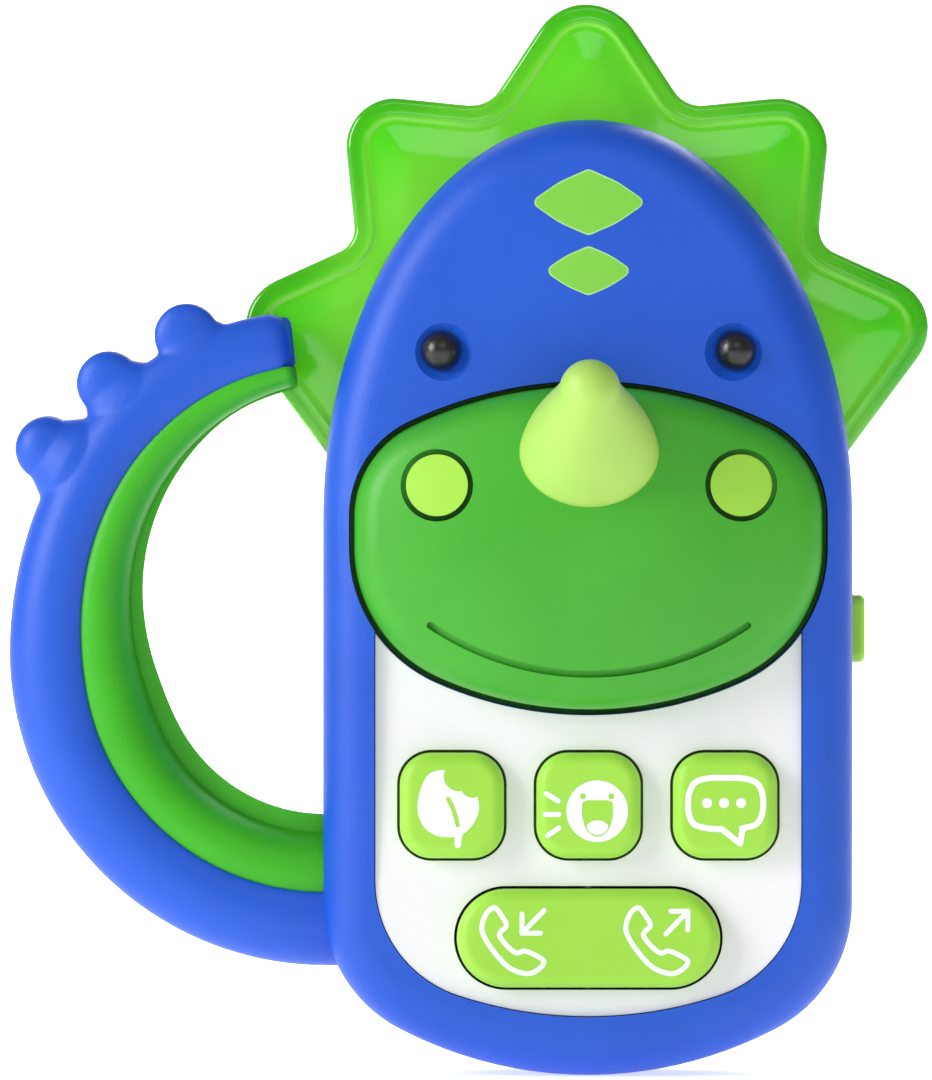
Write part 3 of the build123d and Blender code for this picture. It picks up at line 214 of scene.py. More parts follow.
def circuit():
    """Phenolic board: brown laminate with copper tracks under its lacquer."""
    made, tree, shader, coords = start("circuit_board")
    cells = tree.nodes.new("ShaderNodeTexVoronoi")
    cells.feature = "DISTANCE_TO_EDGE"
    cells.inputs["Scale"].default_value = 260.0
    tree.links.new(coords, cells.inputs["Vector"])
    stops = [(0.0, (176, 140, 70)), (0.06, (176, 140, 70)), (0.09, (120, 84, 40)), (1.0, (110, 76, 36))]
    tree.links.new(ramp(tree, cells.outputs["Distance"], stops), shader.inputs["Base Color"])
    shader.inputs["Roughness"].default_value = 0.4
    bumps(tree, shader, noise(tree, coords, 1200.0, 2.0), 0.15, 0.0001)
    return made


def lamp():
    """A small lamp's clear amber plastic."""
    made, tree, shader, coords = start("lamp")
    drift = noise(tree, coords, 500.0)
    amber = ramp(tree, drift, [(0.3, (230, 190, 60)), (0.7, (255, 225, 120))])
    tree.links.new(amber, shader.inputs["Base Color"])
    shader.inputs["Roughness"].default_value = 0.1
    shader.inputs["Transmission Weight"].default_value = 0.7
    return made


looks = {
    "blue_shell": moulded("blue_shell", (10, 80, 200), (18, 88, 210), 0.46, 2600.0, 0.38),
    "green_muzzle": moulded("green_muzzle", (58, 166, 30), (68, 176, 38), 0.44, 2600.0, 0.30, 0.03),
    "lime_key": moulded("lime_key", (156, 218, 62), (166, 226, 74), 0.42, 2800.0, 0.18, 0.08),
    "lime_horn": moulded("lime_horn", (168, 214, 92), (180, 222, 104), 0.44, 2800.0, 0.20, 0.10),
    "clear_crest": clear_green(),
    "green_grip": moulded("green_grip", (50, 172, 0), (60, 184, 4), 0.46, 2200.0, 0.55, 0.03),
    "white_panel": moulded("white_panel", (238, 238, 240), (244, 244, 245), 0.45, 2600.0, 0.25),
    "eye_black": moulded("eye_black", (14, 12, 12), (26, 23, 23), 0.30, 1500.0, 0.75, 0.0, 0.35),
    "inner_white": moulded("inner_white", (214, 214, 208), (224, 224, 218), 0.5, 1800.0, 0.2),
    "circuit_board": circuit(),
    "silicone": moulded("silicone", (186, 188, 190), (200, 202, 204), 0.55, 1800.0, 0.2, 0.3),
    "black_part": moulded("black_part", (18, 18, 19), (28, 28, 29), 0.45, 2000.0, 0.25),
    "steel": metal("steel", (176, 178, 182), (206, 208, 212), 0.32),
    "spring_steel": metal("spring_steel", (190, 190, 192), (222, 222, 222), 0.24),
    "paper_cone": moulded("paper_cone", (24, 24, 26), (40, 40, 42), 0.8, 1200.0, 0.6),
    "cell": cell_sleeve(),
    "lamp": lamp(),
}
print_white = moulded("print_white", (240, 250, 238), (248, 255, 246), 0.5, 3000.0, 0.1)
print_lime = moulded("print_lime", (122, 204, 62), (130, 210, 70), 0.45, 2600.0, 0.3)
print_line = moulded("print_line", (168, 222, 130), (176, 228, 138), 0.45, 2600.0, 0.3)

slot_of = {part["node"]: part["material_slot"] for part in frame["record"]["subparts"]}
for name, piece in nodes.items():
    piece.data.materials.clear()
    piece.data.materials.append(looks[slot_of[name]])


# ---------------------------------------------------------------- mesh helpers
def make(name, points, faces, look, body, slot):
    """A smooth mesh from points in millimetres, riding on a body."""
    mesh = bpy.data.meshes.new(name)
    places = [tuple(c * MM for c in p) for p in points]
    mesh.from_pydata(places, [], [tuple(int(i) for i in f) for f in faces])
    mesh.update()
    mesh.shade_smooth()
    mesh.materials.append(look)
    piece = bpy.data.objects.new(name, mesh)
    bpy.context.scene.collection.objects.link(piece)
    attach(piece, body)
    return piece


def skin(rings):
    """Points and faces of closed rings joined in turn, fanned shut at both ends."""
    count = len(rings[0])
    points = [p for ring in rings for p in ring]
    faces = []
    for row in range(len(rings) - 1):
        for i in range(count):
            a, b = row * count + i, row * count + (i + 1) % count
            faces.append((a, b, b + count, a + count))
    for row in (0, len(rings) - 1):
        points.append(tuple(np.mean(np.array(rings[row]), axis=0)))
        hub = len(points) - 1
        ring = [(row * count + i, row * count + (i + 1) % count, hub) for i in range(count)]
        faces += ring if row else [f[::-1] for f in ring]
    return points, faces


def within(loop, spots):
    """Which spots lie inside a closed loop."""
    loop, spots = np.asarray(loop, float), np.asarray(spots, float)
    found = np.zeros(len(spots), bool)
    for (xa, ya), (xb, yb) in zip(loop, np.roll(loop, -1, axis=0)):
        if ya == yb:
            continue
        crosses = (spots[:, 1] < ya) != (spots[:, 1] < yb)
        found ^= crosses & (spots[:, 0] < xa + (spots[:, 1] - ya) * (xb - xa) / (yb - ya))
    return found


def distance_to(loop, spots):
    """Distance of each spot from a closed loop."""
    loop, spots = np.asarray(loop, float), np.asarray(spots, float)
    best = np.full(len(spots), 1e9)
    for a, b in zip(loop, np.roll(loop, -1, axis=0)):
        run = b - a
        share = np.clip(((spots - a) @ run) / max(run @ run, 1e-12), 0, 1)
        best = np.minimum(best, np.linalg.norm(spots - a - share[:, None] * run, axis=1))
    return best


def flat_mesh(loops, extra, keep):
    """Triangles whose middles satisfy keep, from loops used as fixed edges and extra spots."""
    spots, edges = [], []
    for loop in loops:
        first = len(spots)
        spots += [tuple(p) for p in loop]
        edges += [(first + i, first + (i + 1) % len(loop)) for i in range(len(loop))]
    spots += [tuple(p) for p in extra]
    placed, _, faces, _, _, _ = delaunay_2d_cdt([Vector(s) for s in spots], edges, [], 0, 1e-5)
    placed = np.array([tuple(p) for p in placed])
    faces = np.array([f for f in faces if len(f) == 3])
    faces = faces[keep(placed[faces].mean(axis=1))]
    used, index = np.unique(faces, return_inverse=True)
    return placed[used], index.reshape(-1, 3)


def smoothstep(value, start, end):
    share = np.clip((value - start) / (end - start), 0.0, 1.0)
    return share * share * (3 - 2 * share)


# ---------------------------------------------------------------- tail and grip, front halves
body_half = 37.6
tail_centre = (-body_half + 0.25, -7.4)
tail_outer, outer_growth = 45.1, 3.4
tail_middle, middle_growth = 34.4, 6.0
tail_inner, inner_growth = 23.5, 14.3
tail_half_depth, tail_thinning = 6.3, 3.0
parting, parting_rise = 13.5, 1.7
grip_overlap, grip_narrowing = 0.3, 0.93
grip_ledge_root, grip_ledge_fall = 2.7, 2.0
crease_share = 0.35  # of a section's height, behind its widest line
root_angle, tip_angle = -97.0, 84.0
typical_radius = 40.0  # turns a length along the curl into an angle


def tail_sizes(angle):
    """Radii of the outside, the seam with the grip and the inside, then half depth and middle depth."""
    outer = tail_outer + outer_growth * smoothstep(angle, 5, 70)
    middle = tail_middle + middle_growth * smoothstep(angle, -10, 85)
    inner = tail_inner + inner_growth * smoothstep(angle, -25, 100)
    thinning = smoothstep(angle, 18, 72)
    return outer, middle, inner, tail_half_depth - tail_thinning * thinning, parting + parting_rise * thinning


def on_tail(angle, radius, depth):
    turn = math.radians(angle)
    return (tail_centre[0] - radius * math.cos(turn), -depth, tail_centre[1] + radius * math.sin(turn))


def half_ring(angle, which, shrink=1.0, advance=0.0):
    """Front half of a section, from the parting plane round to the seam between tube and grip."""
    outer, middle, inner, half_depth, mid_depth = tail_sizes(angle)
    ledge = grip_ledge_root - grip_ledge_fall * smoothstep(angle, -50, 85)
    flat, peak = (middle, outer) if which == "tube" else (middle + grip_overlap, inner + ledge)
    half_depth *= 1.0 if which == "tube" else grip_narrowing
    side = math.copysign(1, peak - flat)
    behind = crease_share * abs(peak - flat)
    bulge = abs(peak - flat) - behind
    wrap = math.asin(behind / bulge)
    first = math.asin((parting - mid_depth) / half_depth)
    hub = ((flat + peak) / 2, mid_depth)
    ring = []
    for t in np.linspace(first, math.pi / 2 + wrap, 26):
        ring.append((flat + side * (behind + bulge * math.cos(t)), mid_depth + half_depth * math.sin(t)))
    edge = ring[0]
    ring = [(edge[0] - side * 0.25, parting), (edge[0] - side * 0.05, parting + 0.12)] + ring[1:]
    ring += [(flat, parting + 0.5 * (ring[-1][1] - parting)), (flat, parting)]
    onward = angle + math.degrees(advance / hub[0])
    shrunk = [(hub[0] + (r - hub[0]) * shrink, max(hub[1] + (d - hub[1]) * shrink, parting)) for r, d in ring]
    return [on_tail(onward, r, d) for r, d in shrunk]


def half_skin(which, rounding):
    """Front half of the tube or of the grip, with a rounded tip."""
    back = math.degrees(rounding / typical_radius)
    rings = [half_ring(a, which) for a in np.linspace(root_angle, tip_angle - back, 130)]
    for turn in np.linspace(8, 86, 11):
        t = math.radians(turn)
        rings.append(half_ring(tip_angle - back, which, math.cos(t) ** 0.6, rounding * math.sin(t)))
    return skin(rings)


spike_angles, spike_lean = (37.0, 52.0, 67.3), 7.0
spike_foot_radius, spike_reach = 41.0, 53.6
spike_tip, spike_foot = 4.7, 10.2
spike_full_width = 7.4  # radius at which a spike would be as deep as the tube
spike_depth, spike_depth_limit = 0.88, 7.2


def spike(angle):
    """Front half of a blunt spike, standing on the tube."""
    _, _, _, half_depth, mid_depth = tail_sizes(angle)
    lean = math.radians(angle - spike_lean)
    outward = np.array([-math.cos(lean), 0, math.sin(lean)])
    across = np.array([math.sin(lean), 0, math.cos(lean)])
    foot = np.array(on_tail(angle, spike_foot_radius, mid_depth))
    depth_share = spike_depth * half_depth / spike_full_width
    rings, profile = [], []
    length = spike_reach - spike_tip - spike_foot_radius
    for height in np.linspace(0, length - 0.5, 12):
        profile.append((height, spike_foot + (spike_tip - spike_foot) * (height / length) ** 1.05))
    for t in np.linspace(0.0, 1.5, 14):
        profile.append((length + spike_tip * math.sin(t), spike_tip * math.cos(t)))
    for height, radius in profile:
        ring = []
        for turn in np.linspace(0, 2 * math.pi, 48, endpoint=False):
            at = foot + outward * height + across * radius * math.cos(turn)
            at = at + np.array([0, -1, 0]) * min(radius, spike_depth_limit) * depth_share * math.sin(turn)
            ring.append((at[0], min(at[1], -parting), at[2]))
        rings.append(ring)
    return skin(rings)


def joined(shapes):
    """Points and faces of several shapes as one."""
    points, faces = [], []
    for some_points, some_faces in shapes:
        faces += [tuple(i + len(points) for i in f) for f in some_faces]
        points += list(some_points)
    return points, faces


def remeshed(piece, voxel, passes):
    """Melts overlapping shapes into one skin with small soft fillets."""
    remesh = piece.modifiers.new("melt", "REMESH")
    remesh.mode = "VOXEL"
    remesh.voxel_size = voxel * MM
    soften = piece.modifiers.new("soften", "SMOOTH")
    soften.factor = 0.5
    soften.iterations = passes
    graph = bpy.context.evaluated_depsgraph_get()
    mesh = bpy.data.meshes.new_from_object(piece.evaluated_get(graph))
    mesh.materials.clear()
    mesh.materials.append(piece.data.materials[0])
    piece.modifiers.clear()
    piece.data = mesh
    mesh.shade_smooth()


tube_shape = joined([half_skin("tube", 3.0)] + [spike(a) for a in spike_angles])
tube = make("tail_front_skin", *tube_shape, looks["blue_shell"], "phone", "blue_shell")
remeshed(tube, 0.35, 4)
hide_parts("tail_front")
grip = make("grip_front_skin", *half_skin("grip", 1.6), looks["green_grip"], "phone", "green_grip")
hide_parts("grip_front")

# ---------------------------------------------------------------- crest
head_centre, head_rise = 11.1, 56.8


def round_head(angle, stand_out):
    """Spot at an angle round the head, standing out from the body's outline."""
    turn = math.radians(angle)
    return np.array(
        [(body_half + stand_out) * math.cos(turn), head_centre + (head_rise + stand_out) * math.sin(turn)]
    )


def rounded(corners):
    """A closed outline through corners of (spot, rounding)."""
    loop = []
    for i, (at, radius) in enumerate(corners):
        before, after = corners[i - 1][0], corners[(i + 1) % len(corners)][0]
        if not radius:
            loop.append(at)
            continue
        u = (before - at) / np.linalg.norm(before - at)
        v = (after - at) / np.linalg.norm(after - at)
        half = math.acos(np.clip(u @ v, -1, 1)) / 2
        reach = radius / math.tan(half)
        bisector = (u + v) / np.linalg.norm(u + v)
        hub = at + bisector * radius / math.sin(half)
        one, two = at + u * reach - hub, at + v * reach - hub
        sweep = math.pi - 2 * half
        sign = math.copysign(1, one[0] * two[1] - one[1] * two[0])
        for share in np.linspace(0, 1, 13):
            t = sign * sweep * share
            cos, sin = math.cos(t), math.sin(t)
            loop.append(hub + np.array([one[0] * cos - one[1] * sin, one[0] * sin + one[1] * cos]))
    return loop


def resampled(loop, step):
    """The same closed outline with evenly spread points."""
    loop = np.array(loop)
    closed = np.vstack([loop, loop[:1]])
    run = np.concatenate([[0], np.cumsum(np.linalg.norm(np.diff(closed, axis=0), axis=1))])
    places = np.linspace(0, run[-1], int(run[-1] / step), endpoint=False)
    return np.stack([np.interp(places, run, closed[:, i]) for i in (0, 1)], axis=1)


lobes = [(23.4, 20.0, 7.3), (39.5, 5.25, 3.6), (52.5, 20.4, 7.0), (71.0, 5.75, 4.6)]
right = [(round_head(a, s), r) for a, s, r in lobes]
left = [(at * (-1, 1), r) for at, r in right[::-1]]
foot = round_head(5.4, -3.5)
corners = [(foot, 0)] + right + [(round_head(90.0, 23.7), 8.1)] + left + [(foot * (-1, 1), 0)]
crest_loop = resampled(rounded(corners), 0.7)


def outside_head(spots, inset):
    """Which spots lie outside the body's outline, drawn in by inset."""
    x, z = spots[:, 0], spots[:, 1]
    arch = (x / (body_half - inset)) ** 2 + (np.maximum(z - head_centre, 0) / (head_rise - inset)) ** 2
    return arch > 1


normals = np.roll(crest_loop, -1, axis=0) - np.roll(crest_loop, 1, axis=0)
normals = np.stack([-normals[:, 1], normals[:, 0]], axis=1) / np.linalg.norm(normals, axis=1)[:, None]
rim_rings = []
for inset in (0.35, 0.8, 1.4, 2.0, 2.3, 2.6, 2.9, 3.3, 4.0, 5.0):
    ring = crest_loop + normals * inset
    rim_rings.append(ring[distance_to(crest_loop, ring) > inset - 0.02])
reach = np.arange(-60, 60, 1.3)
field = np.array([(x, z) for x in reach for z in np.arange(10, 95, 1.3)])
field = field[within(crest_loop, field)]
field = field[(distance_to(crest_loop, field) > 5.8) & outside_head(field, 5.0)]
flat, crest_faces = flat_mesh(
    [crest_loop], np.vstack(rim_rings + [field]), lambda s: within(crest_loop, s) & outside_head(s, 3.0)
)
from_rim = distance_to(crest_loop, flat)
from_head = np.sqrt((flat[:, 0] / body_half) ** 2 + ((flat[:, 1] - head_centre) / head_rise) ** 2)
from_head = (from_head - 1) * body_half
edge = 0.75 + 0.75 * np.sqrt(1 - (1 - np.clip(from_rim / 0.9, 0, 1)) ** 2)
ridge = 0.28 * np.exp(-(((from_rim - 2.6) / 0.35) ** 2))
puff = 1.22 * smoothstep(from_rim, 2.4, 9.0)
half_thickness = edge + ridge + puff
middle = 8.25
count = len(flat)
points = [(x, -(middle + t), z) for (x, z), t in zip(flat, half_thickness)]
points += [(x, -(middle - t), z) for (x, z), t in zip(flat, half_thickness)]
sides = {}
for a, b, c in crest_faces:
    for pair in ((a, b), (b, c), (c, a)):
        sides[pair] = True
faces = [tuple(f) for f in crest_faces] + [(c + count, b + count, a + count) for a, b, c in crest_faces]
faces += [(b, a, a + count, b + count) for a, b in sides if (b, a) not in sides]
crest = make("crest_shell", points, faces, looks["clear_crest"], "phone", "clear_crest")
# The second attribute marks where the crest gets its painted glow, near the body.
for name, values in (("from_rim", from_rim / 12), ("near_body", 1 - smoothstep(from_head, 0.5, 11))):
    attribute = crest.data.attributes.new(name, "FLOAT", "POINT")
    attribute.data.foreach_set("value", np.concatenate([values, values]).astype(np.float32))
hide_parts("crest")

# ---------------------------------------------------------------- horn
horn_tip = np.array([0, -41.0, 29.1])
horn_tip_radius = 4.3
horn_foot_height, horn_foot_width, horn_foot_rise = 20.6, 9.8, 7.8
horn_sunk, horn_swell = 1.6, 0.9
muzzle_apex, muzzle_across, muzzle_along, muzzle_height = 35.0, 84.0, 66.0, 7.1
tilt = math.radians(42.0)
horn_axis = np.array([0, -math.cos(tilt), math.sin(tilt)])
horn_up = np.array([0, math.sin(tilt), math.cos(tilt)])


def dome_depth(x, z):
    """Depth of the muzzle's face at a point of the front view."""
    fall_across = muzzle_across - math.sqrt(muzzle_across**2 - x**2)
    fall_along = muzzle_along - math.sqrt(muzzle_along**2 - (z - muzzle_height) ** 2)
    return muzzle_apex - fall_across - fall_along


turns = np.linspace(0, 2 * math.pi, 72, endpoint=False)
foot_ring, top_ring = [], []
for t in turns:
    x, z = horn_foot_width * math.sin(t), horn_foot_height + horn_foot_rise * math.cos(t)
    foot_ring.append((x, -dome_depth(x, z), z))
    top_ring.append(horn_tip + horn_tip_radius * (horn_up * math.cos(t) + np.array([math.sin(t), 0, 0])))
foot_ring, top_ring = np.array(foot_ring), np.array(top_ring)
rings = [list(map(tuple, foot_ring + np.array([0, horn_sunk, 0])))]
for share in np.linspace(0, 1, 24):
    swell = horn_swell * math.sin(math.pi * share) * (1 - share)
    ring = foot_ring * (1 - share) + top_ring * share
    outward = ring - ring.mean(axis=0)
    outward /= np.linalg.norm(outward, axis=1)[:, None]
    rings.append(list(map(tuple, ring + outward * swell)))
for t in np.linspace(0.08, 1.54, 16):
    crown = horn_tip + horn_axis * horn_tip_radius * math.sin(t)
    rings.append([tuple(crown + (p - horn_tip) * math.cos(t)) for p in top_ring])
horn = make("horn_skin", *skin(rings), looks["lime_horn"], "muzzle_body", "lime_horn")
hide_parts("horn")


# ---------------------------------------------------------------- coil springs
end_share = 0.25  # of a spring's rise that eases in and out at its ends


def coil(name, at, axis, across, length, radii, wire, turns, body):
    """A wound wire from at along axis; radii are those of its first and last turn."""
    at, axis, across = np.array(at), np.array(axis, float), np.array(across, float)
    other = np.cross(axis, across)
    rings = []
    steps = int(turns * 24)
    rise = length - 2 * wire
    for i in range(steps + 1):
        share = i / steps
        height = wire + rise * smoothstep(share, 0.0, 1.0) * end_share + rise * share * (1 - end_share)
        radius = radii[0] + (radii[1] - radii[0]) * share
        t = 2 * math.pi * (share * turns)
        out = across * math.cos(t) + other * math.sin(t)
        hub = at + axis * height + out * (radius - wire)
        around = np.linspace(0, 2 * math.pi, 8, endpoint=False)
        rings.append([tuple(hub + wire * (out * math.cos(s) + axis * math.sin(s))) for s in around])
    return make(name, *skin(rings), looks["spring_steel"], body, "spring_steel")


spring_place, spring_seat = 17.0, -16.0
for side, name in ((-1, "muzzle_coil_left"), (1, "muzzle_coil_right")):
    seat = (spring_place * side, spring_seat, muzzle_height)
    spring = coil(name, seat, (0, -1, 0), (1, 0, 0), 7.4, (2.6, 2.6), 0.28, 7.0, "phone")
    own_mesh(spring)
    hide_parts("muzzle_springs")
bay_height, half_spacing, cell_depth = -34.0, 5.55, 7.75
low, high = (np.array(corner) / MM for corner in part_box("contact_springs"))
for side, name in ((1, "cell_coil_right"), (-1, "cell_coil_left")):
    foot_x = high[0] if side > 0 else low[0]
    seat = (foot_x, -cell_depth, bay_height - side * half_spacing)
    spring = coil(name, seat, (-side, 0, 0), (0, 0, 1), 3.1, (3.5, 2.4), 0.26, 4.0, "phone")
    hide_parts("contact_springs")

# ---------------------------------------------------------------- prints
key_top = -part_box("roar_button")[0].y / MM
print_lift = 0.03


def arc(centre, radius, first, last, count):
    """Points along an arc, without a doubled last one on a full circle."""
    turns = np.radians(np.linspace(first, last, count, endpoint=abs(last - first) < 359.9))
    return [(centre[0] + radius * math.cos(t), centre[1] + radius * math.sin(t)) for t in turns]


def capsule(a, b, width):
    """A straight stroke with round ends."""
    a, b = np.array(a, float), np.array(b, float)
    heading = math.degrees(math.atan2(*(b - a)[::-1]))
    end = arc(b, width / 2, heading - 90, heading + 90, 9)
    return end + arc(a, width / 2, heading + 90, heading + 270, 9)


def stroke(path, width, closed=False):
    """Capsules from spot to spot along a path."""
    spots = list(path) + ([path[0]] if closed else [])
    return [capsule(a, b, width) for a, b in zip(spots, spots[1:])]


def smooth_loop(spots, count=8, closed=True):
    """A rounded path through spots."""
    spots = [np.array(s, float) for s in spots]
    path, total = [], len(spots)
    for i in range(total if closed else total - 1):
        if closed:
            p = [spots[(i + k) % total] for k in (-1, 0, 1, 2)]
        else:
            p = [spots[min(max(i + k, 0), total - 1)] for k in (-1, 0, 1, 2)]
        for t in np.linspace(0, 1, count, endpoint=False):
            path.append(
                0.5 * (2 * p[1] + (p[2] - p[0]) * t + (2 * p[0] - 5 * p[1] + 4 * p[2] - p[3]) * t**2
                       + (3 * p[1] - p[0] - 3 * p[2] + p[3]) * t**3)
            )
    if not closed:
        path.append(spots[-1])
    return [tuple(s) for s in path]


def printed(name, inked, bare, centre, look, body, slot, depth_at=None, extra=()):
    """Ink lying on a face: inside any of the inked loops, and outside all the bare ones."""

    def keep(spots):
        ink = np.zeros(len(spots), bool)
        for loop in inked:
            ink |= within(loop, spots)
        for loop in bare:
            ink &= ~within(loop, spots)
        return ink

    flat, faces = flat_mesh(list(inked) + list(bare), extra, keep)
    depth = depth_at or (lambda x, z: key_top)
    points = []
    for x, z in flat:
        x, z = x + centre[0], z + centre[1]
        points.append((x, -depth(x, z) - print_lift, z))
    return make(name, points, faces, look, body, slot)


row, pitch, rocker_row = -29.3, 19.3, -48.05

leaf_edge = smooth_loop(
    [(-2.9, 4.7), (-4.3, 2.6), (-4.85, -0.2), (-4.2, -2.6), (-2.4, -4.1), (0.2, -4.4)]
    + [(2.3, -3.4), (3.7, -1.2), (3.7, 1.0), (2.6, 3.6), (0.2, 5.0)]
)
bites = [arc((1.0, 4.2), 2.15, 0, 360, 28), arc((2.95, 2.9), 1.75, 0, 360, 28)]
vein = stroke(smooth_loop([(-0.5, 1.0), (0.3, -0.7), (0.85, -2.7)], 5, False), 0.62)
stem = stroke([(1.25, -3.6), (0.85, -4.7), (0.85, -5.5)], 0.95)
printed("print_leaf", [leaf_edge] + stem, bites + vein, (-pitch, row), print_white, "leaf_key", "white_panel")

face = arc((1.2, -0.75), 4.35, 0, 360, 64)
eyes = [arc((-0.8, 1.35), 0.42, 0, 360, 20), arc((3.2, 1.35), 0.42, 0, 360, 20)]
mouth = smooth_loop(
    [(-0.9, 0.25), (-0.3, 0.75), (1.25, 0.8), (2.8, 0.75), (3.4, 0.25)]
    + [(3.35, -1.7), (2.7, -3.5), (1.25, -4.35), (-0.2, -3.5), (-0.85, -1.7)]
)
tongue = smooth_loop(
    [(-0.3, -2.9), (0.4, -2.2), (1.25, -2.05), (2.1, -2.2)]
    + [(2.8, -2.9), (2.2, -3.8), (1.25, -4.1), (0.3, -3.8)]
)
thin_line = 0.72
dash_ends = (((-6.0, 1.75), (-4.3, 0.7)), ((-6.1, -1.2), (-4.2, -1.2)), ((-5.8, -4.2), (-4.2, -3.1)))
dashes = [capsule(a, b, thin_line) for a, b in dash_ends]


def keep_roar(spots):
    """Which spots are inked on the roaring face."""
    ink = within(face, spots) & ~within(mouth, spots) & ~within(eyes[0], spots) & ~within(eyes[1], spots)
    for loop in [tongue] + dashes:
        ink |= within(loop, spots)
    return ink


flat, faces = flat_mesh([face, mouth, tongue] + eyes + dashes, [], keep_roar)
points = [(x, -key_top - print_lift, z + row) for x, z in flat]
make("print_roar", points, faces, print_white, "roar_key", "white_panel")

bubble = [(-5.5, 1.6), (-4.6, 3.4), (-2.6, 4.1), (0.0, 4.15), (2.6, 4.1), (4.6, 3.4)]
bubble += [(5.5, 1.6), (5.5, -0.9), (4.6, -2.7), (2.6, -3.3)]
bubble = [(x * 0.95, z * 0.95) for x, z in bubble]
outline = smooth_loop(bubble + [(2.4, -3.35)], 6, False)
outline += [(2.05, -5.3), (-0.5, -3.3)]
outline += smooth_loop([(-2.4, -3.2), (-4.4, -2.6), (-5.22, -0.9), (-5.22, 1.5)], 6, False)
dots = [arc((x, 0.4), 0.72, 0, 360, 24) for x in (-2.6, -0.2, 2.2)]
bubble_ink = stroke(outline, 0.85, True) + dots
printed("print_chat", bubble_ink, [], (pitch, row), print_white, "chat_key", "white_panel")

handset = [(-4.3, 2.4), (-3.7, 3.9), (-2.6, 4.7), (-1.6, 3.6), (-0.9, 2.2), (-1.7, 1.3)]
handset += [(-1.8, 0.6), (-0.6, -0.9), (0.6, -1.7), (1.6, -1.4), (3.0, -1.9), (4.4, -2.9)]
handset += [(3.5, -4.1), (1.9, -4.6), (-0.6, -3.7), (-2.9, -1.2), (-4.2, 1.0)]
handset = smooth_loop(handset, 5)
for name, shift, arrow in (
    ("print_call_in", -10.7, [((4.4, 4.3), (1.3, 1.1)), ((1.3, 3.8), (1.3, 1.1)), ((3.9, 1.1), (1.3, 1.1))]),
    ("print_call_out", 9.6, [((1.3, 1.0), (4.4, 4.2)), ((2.0, 4.2), (4.4, 4.2)), ((4.4, 1.6), (4.4, 4.2))]),
):
    shapes = stroke(handset, thin_line, True) + [capsule(a, b, thin_line) for a, b in arrow]
    printed(name, shapes, [], (shift, rocker_row - 0.3), print_white, "rocker", "white_panel")


face_apex, face_across, face_along = 28.0, 260.0, 900.0


def face_depth(x, z):
    """Depth of the body's bulging face at a point of the front view."""
    fall_across = face_across - math.sqrt(face_across**2 - x * x)
    fall_along = face_along - math.sqrt(face_along**2 - z * z)
    return face_apex - fall_across - fall_along


bow = 0.9


def lozenge(width, height, rounding, grow=0.0):
    """A diamond with bowed sides and rounded corners."""
    half_w, half_h = width / 2 + grow, height / 2 + grow
    side_z = half_h * 0.5 + bow * height / 16
    spots = [(half_w, 0), (half_w * 0.5, side_z), (0, half_h), (-half_w * 0.5, side_z)]
    spots += [(-half_w, 0), (-half_w * 0.5, -side_z), (0, -half_h), (half_w * 0.5, -side_z)]
    corners = [(np.array(s, float), r) for s, r in zip(spots, [rounding, 12, rounding * 1.3, 12] * 2)]
    return [tuple(s) for s in rounded(corners)]


for name, height, width, tall in (("diamond_upper", 55.9, 16.6, 9.5), ("diamond_lower", 46.2, 12.7, 7.1)):
    rows = np.arange(-tall / 2, tall / 2, 0.9)
    grid = [(x, z) for x in np.arange(-width / 2, width / 2, 0.9) for z in rows]
    inner, rim = lozenge(width, tall, 0.8, -0.25), lozenge(width, tall, 0.9)
    grid = [g for g, ok in zip(grid, within(inner, grid)) if ok]
    at = (0, height)
    printed("print_" + name, [inner], [], at, print_lime, "phone", "lime_key", face_depth, grid)
    printed("print_" + name + "_line", [rim], [inner], at, print_line, "phone", "lime_key", face_depth)

# ---------------------------------------------------------------- room, light and camera
low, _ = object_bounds()


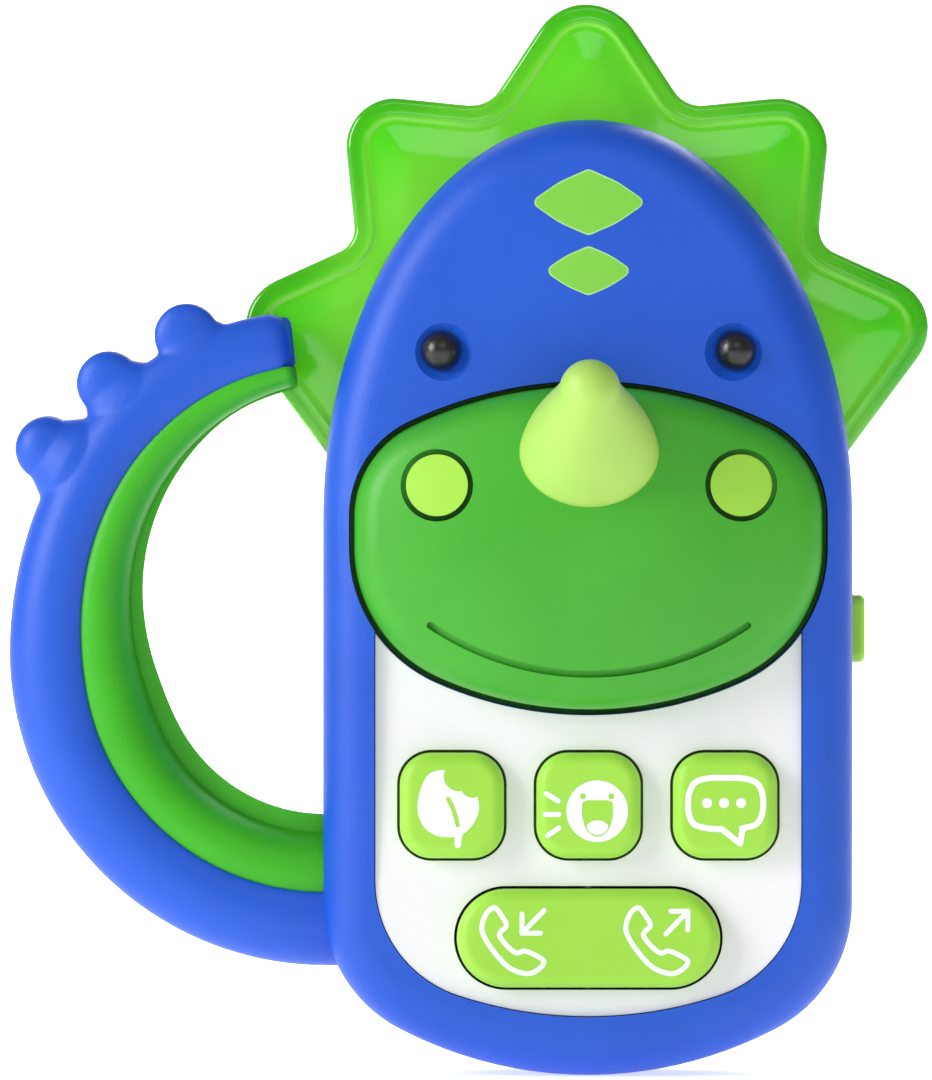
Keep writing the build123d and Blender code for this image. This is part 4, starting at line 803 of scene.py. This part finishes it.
def sheet(name, corners, tone, roughness, glow):
    """A pale matt sheet that glows a little, for the floor and the backdrop."""
    mesh = bpy.data.meshes.new(name)
    mesh.from_pydata(corners, [], [(0, 1, 2, 3)])
    made = bpy.data.objects.new(name, mesh)
    bpy.context.scene.collection.objects.link(made)
    look = bpy.data.materials.new(name)
    look.use_nodes = True
    paint = look.node_tree.nodes["Principled BSDF"]
    paint.inputs["Base Color"].default_value = tone
    paint.inputs["Roughness"].default_value = roughness
    paint.inputs["Emission Color"].default_value = (1, 1, 1, 1)
    paint.inputs["Emission Strength"].default_value = glow
    mesh.materials.append(look)
    return made


floor_corners = [(-6, -6, low.z), (6, -6, low.z), (6, 6, low.z), (-6, 6, low.z)]
floor = sheet("floor", floor_corners, (0.86, 0.86, 0.87, 1), 0.7, 0.62)
backdrop_corners = [(-2, 2, low.z), (2, 2, low.z), (2, 2, 2.5), (-2, 2, 2.5)]
backdrop = sheet("backdrop", backdrop_corners, (0.9, 0.9, 0.9, 1), 0.5, 1.0)

world = bpy.data.worlds.new("studio")
bpy.context.scene.world = world
world.use_nodes = True
world.node_tree.nodes["Background"].inputs["Color"].default_value = (1, 1, 1, 1)
world.node_tree.nodes["Background"].inputs["Strength"].default_value = 0.28


def softbox(name, place, aim, size, power):
    """A rectangular area light at a place, turned to the aim."""
    light = bpy.data.lights.new(name, "AREA")
    light.shape = "RECTANGLE"
    light.size, light.size_y = size
    light.energy = power
    holder = bpy.data.objects.new(name, light)
    bpy.context.scene.collection.objects.link(holder)
    holder.location = place
    holder.rotation_euler = (Vector(aim) - Vector(place)).to_track_quat("-Z", "Y").to_euler()


aim = (-0.017, -0.015, 0.008)
softbox("key_light", (-1.0, -0.5, 0.45), aim, (0.4, 0.7), 9.5)
softbox("front_light", (0.1, -1.1, 0.75), aim, (0.7, 0.5), 1.6)
softbox("back_light", (0.3, 0.8, 0.6), aim, (0.6, 0.6), 6.0)

camera_data = bpy.data.cameras.new("camera")
camera_data.sensor_fit = "HORIZONTAL"
camera_data.sensor_width = 36.0
camera = bpy.data.objects.new("camera", camera_data)
bpy.context.scene.collection.objects.link(camera)
distance = 1.2
view_width = 0.1323  # metres across the picture, at the keypad's depth
camera.location = (-0.0173, -0.020 - distance, 0.0082)
camera.rotation_euler = (math.pi / 2, 0, 0)
camera_data.lens = camera_data.sensor_width * distance / view_width
camera_data.clip_start = 0.05
bpy.context.scene.camera = camera
bpy.context.scene.view_settings.view_transform = "Standard"
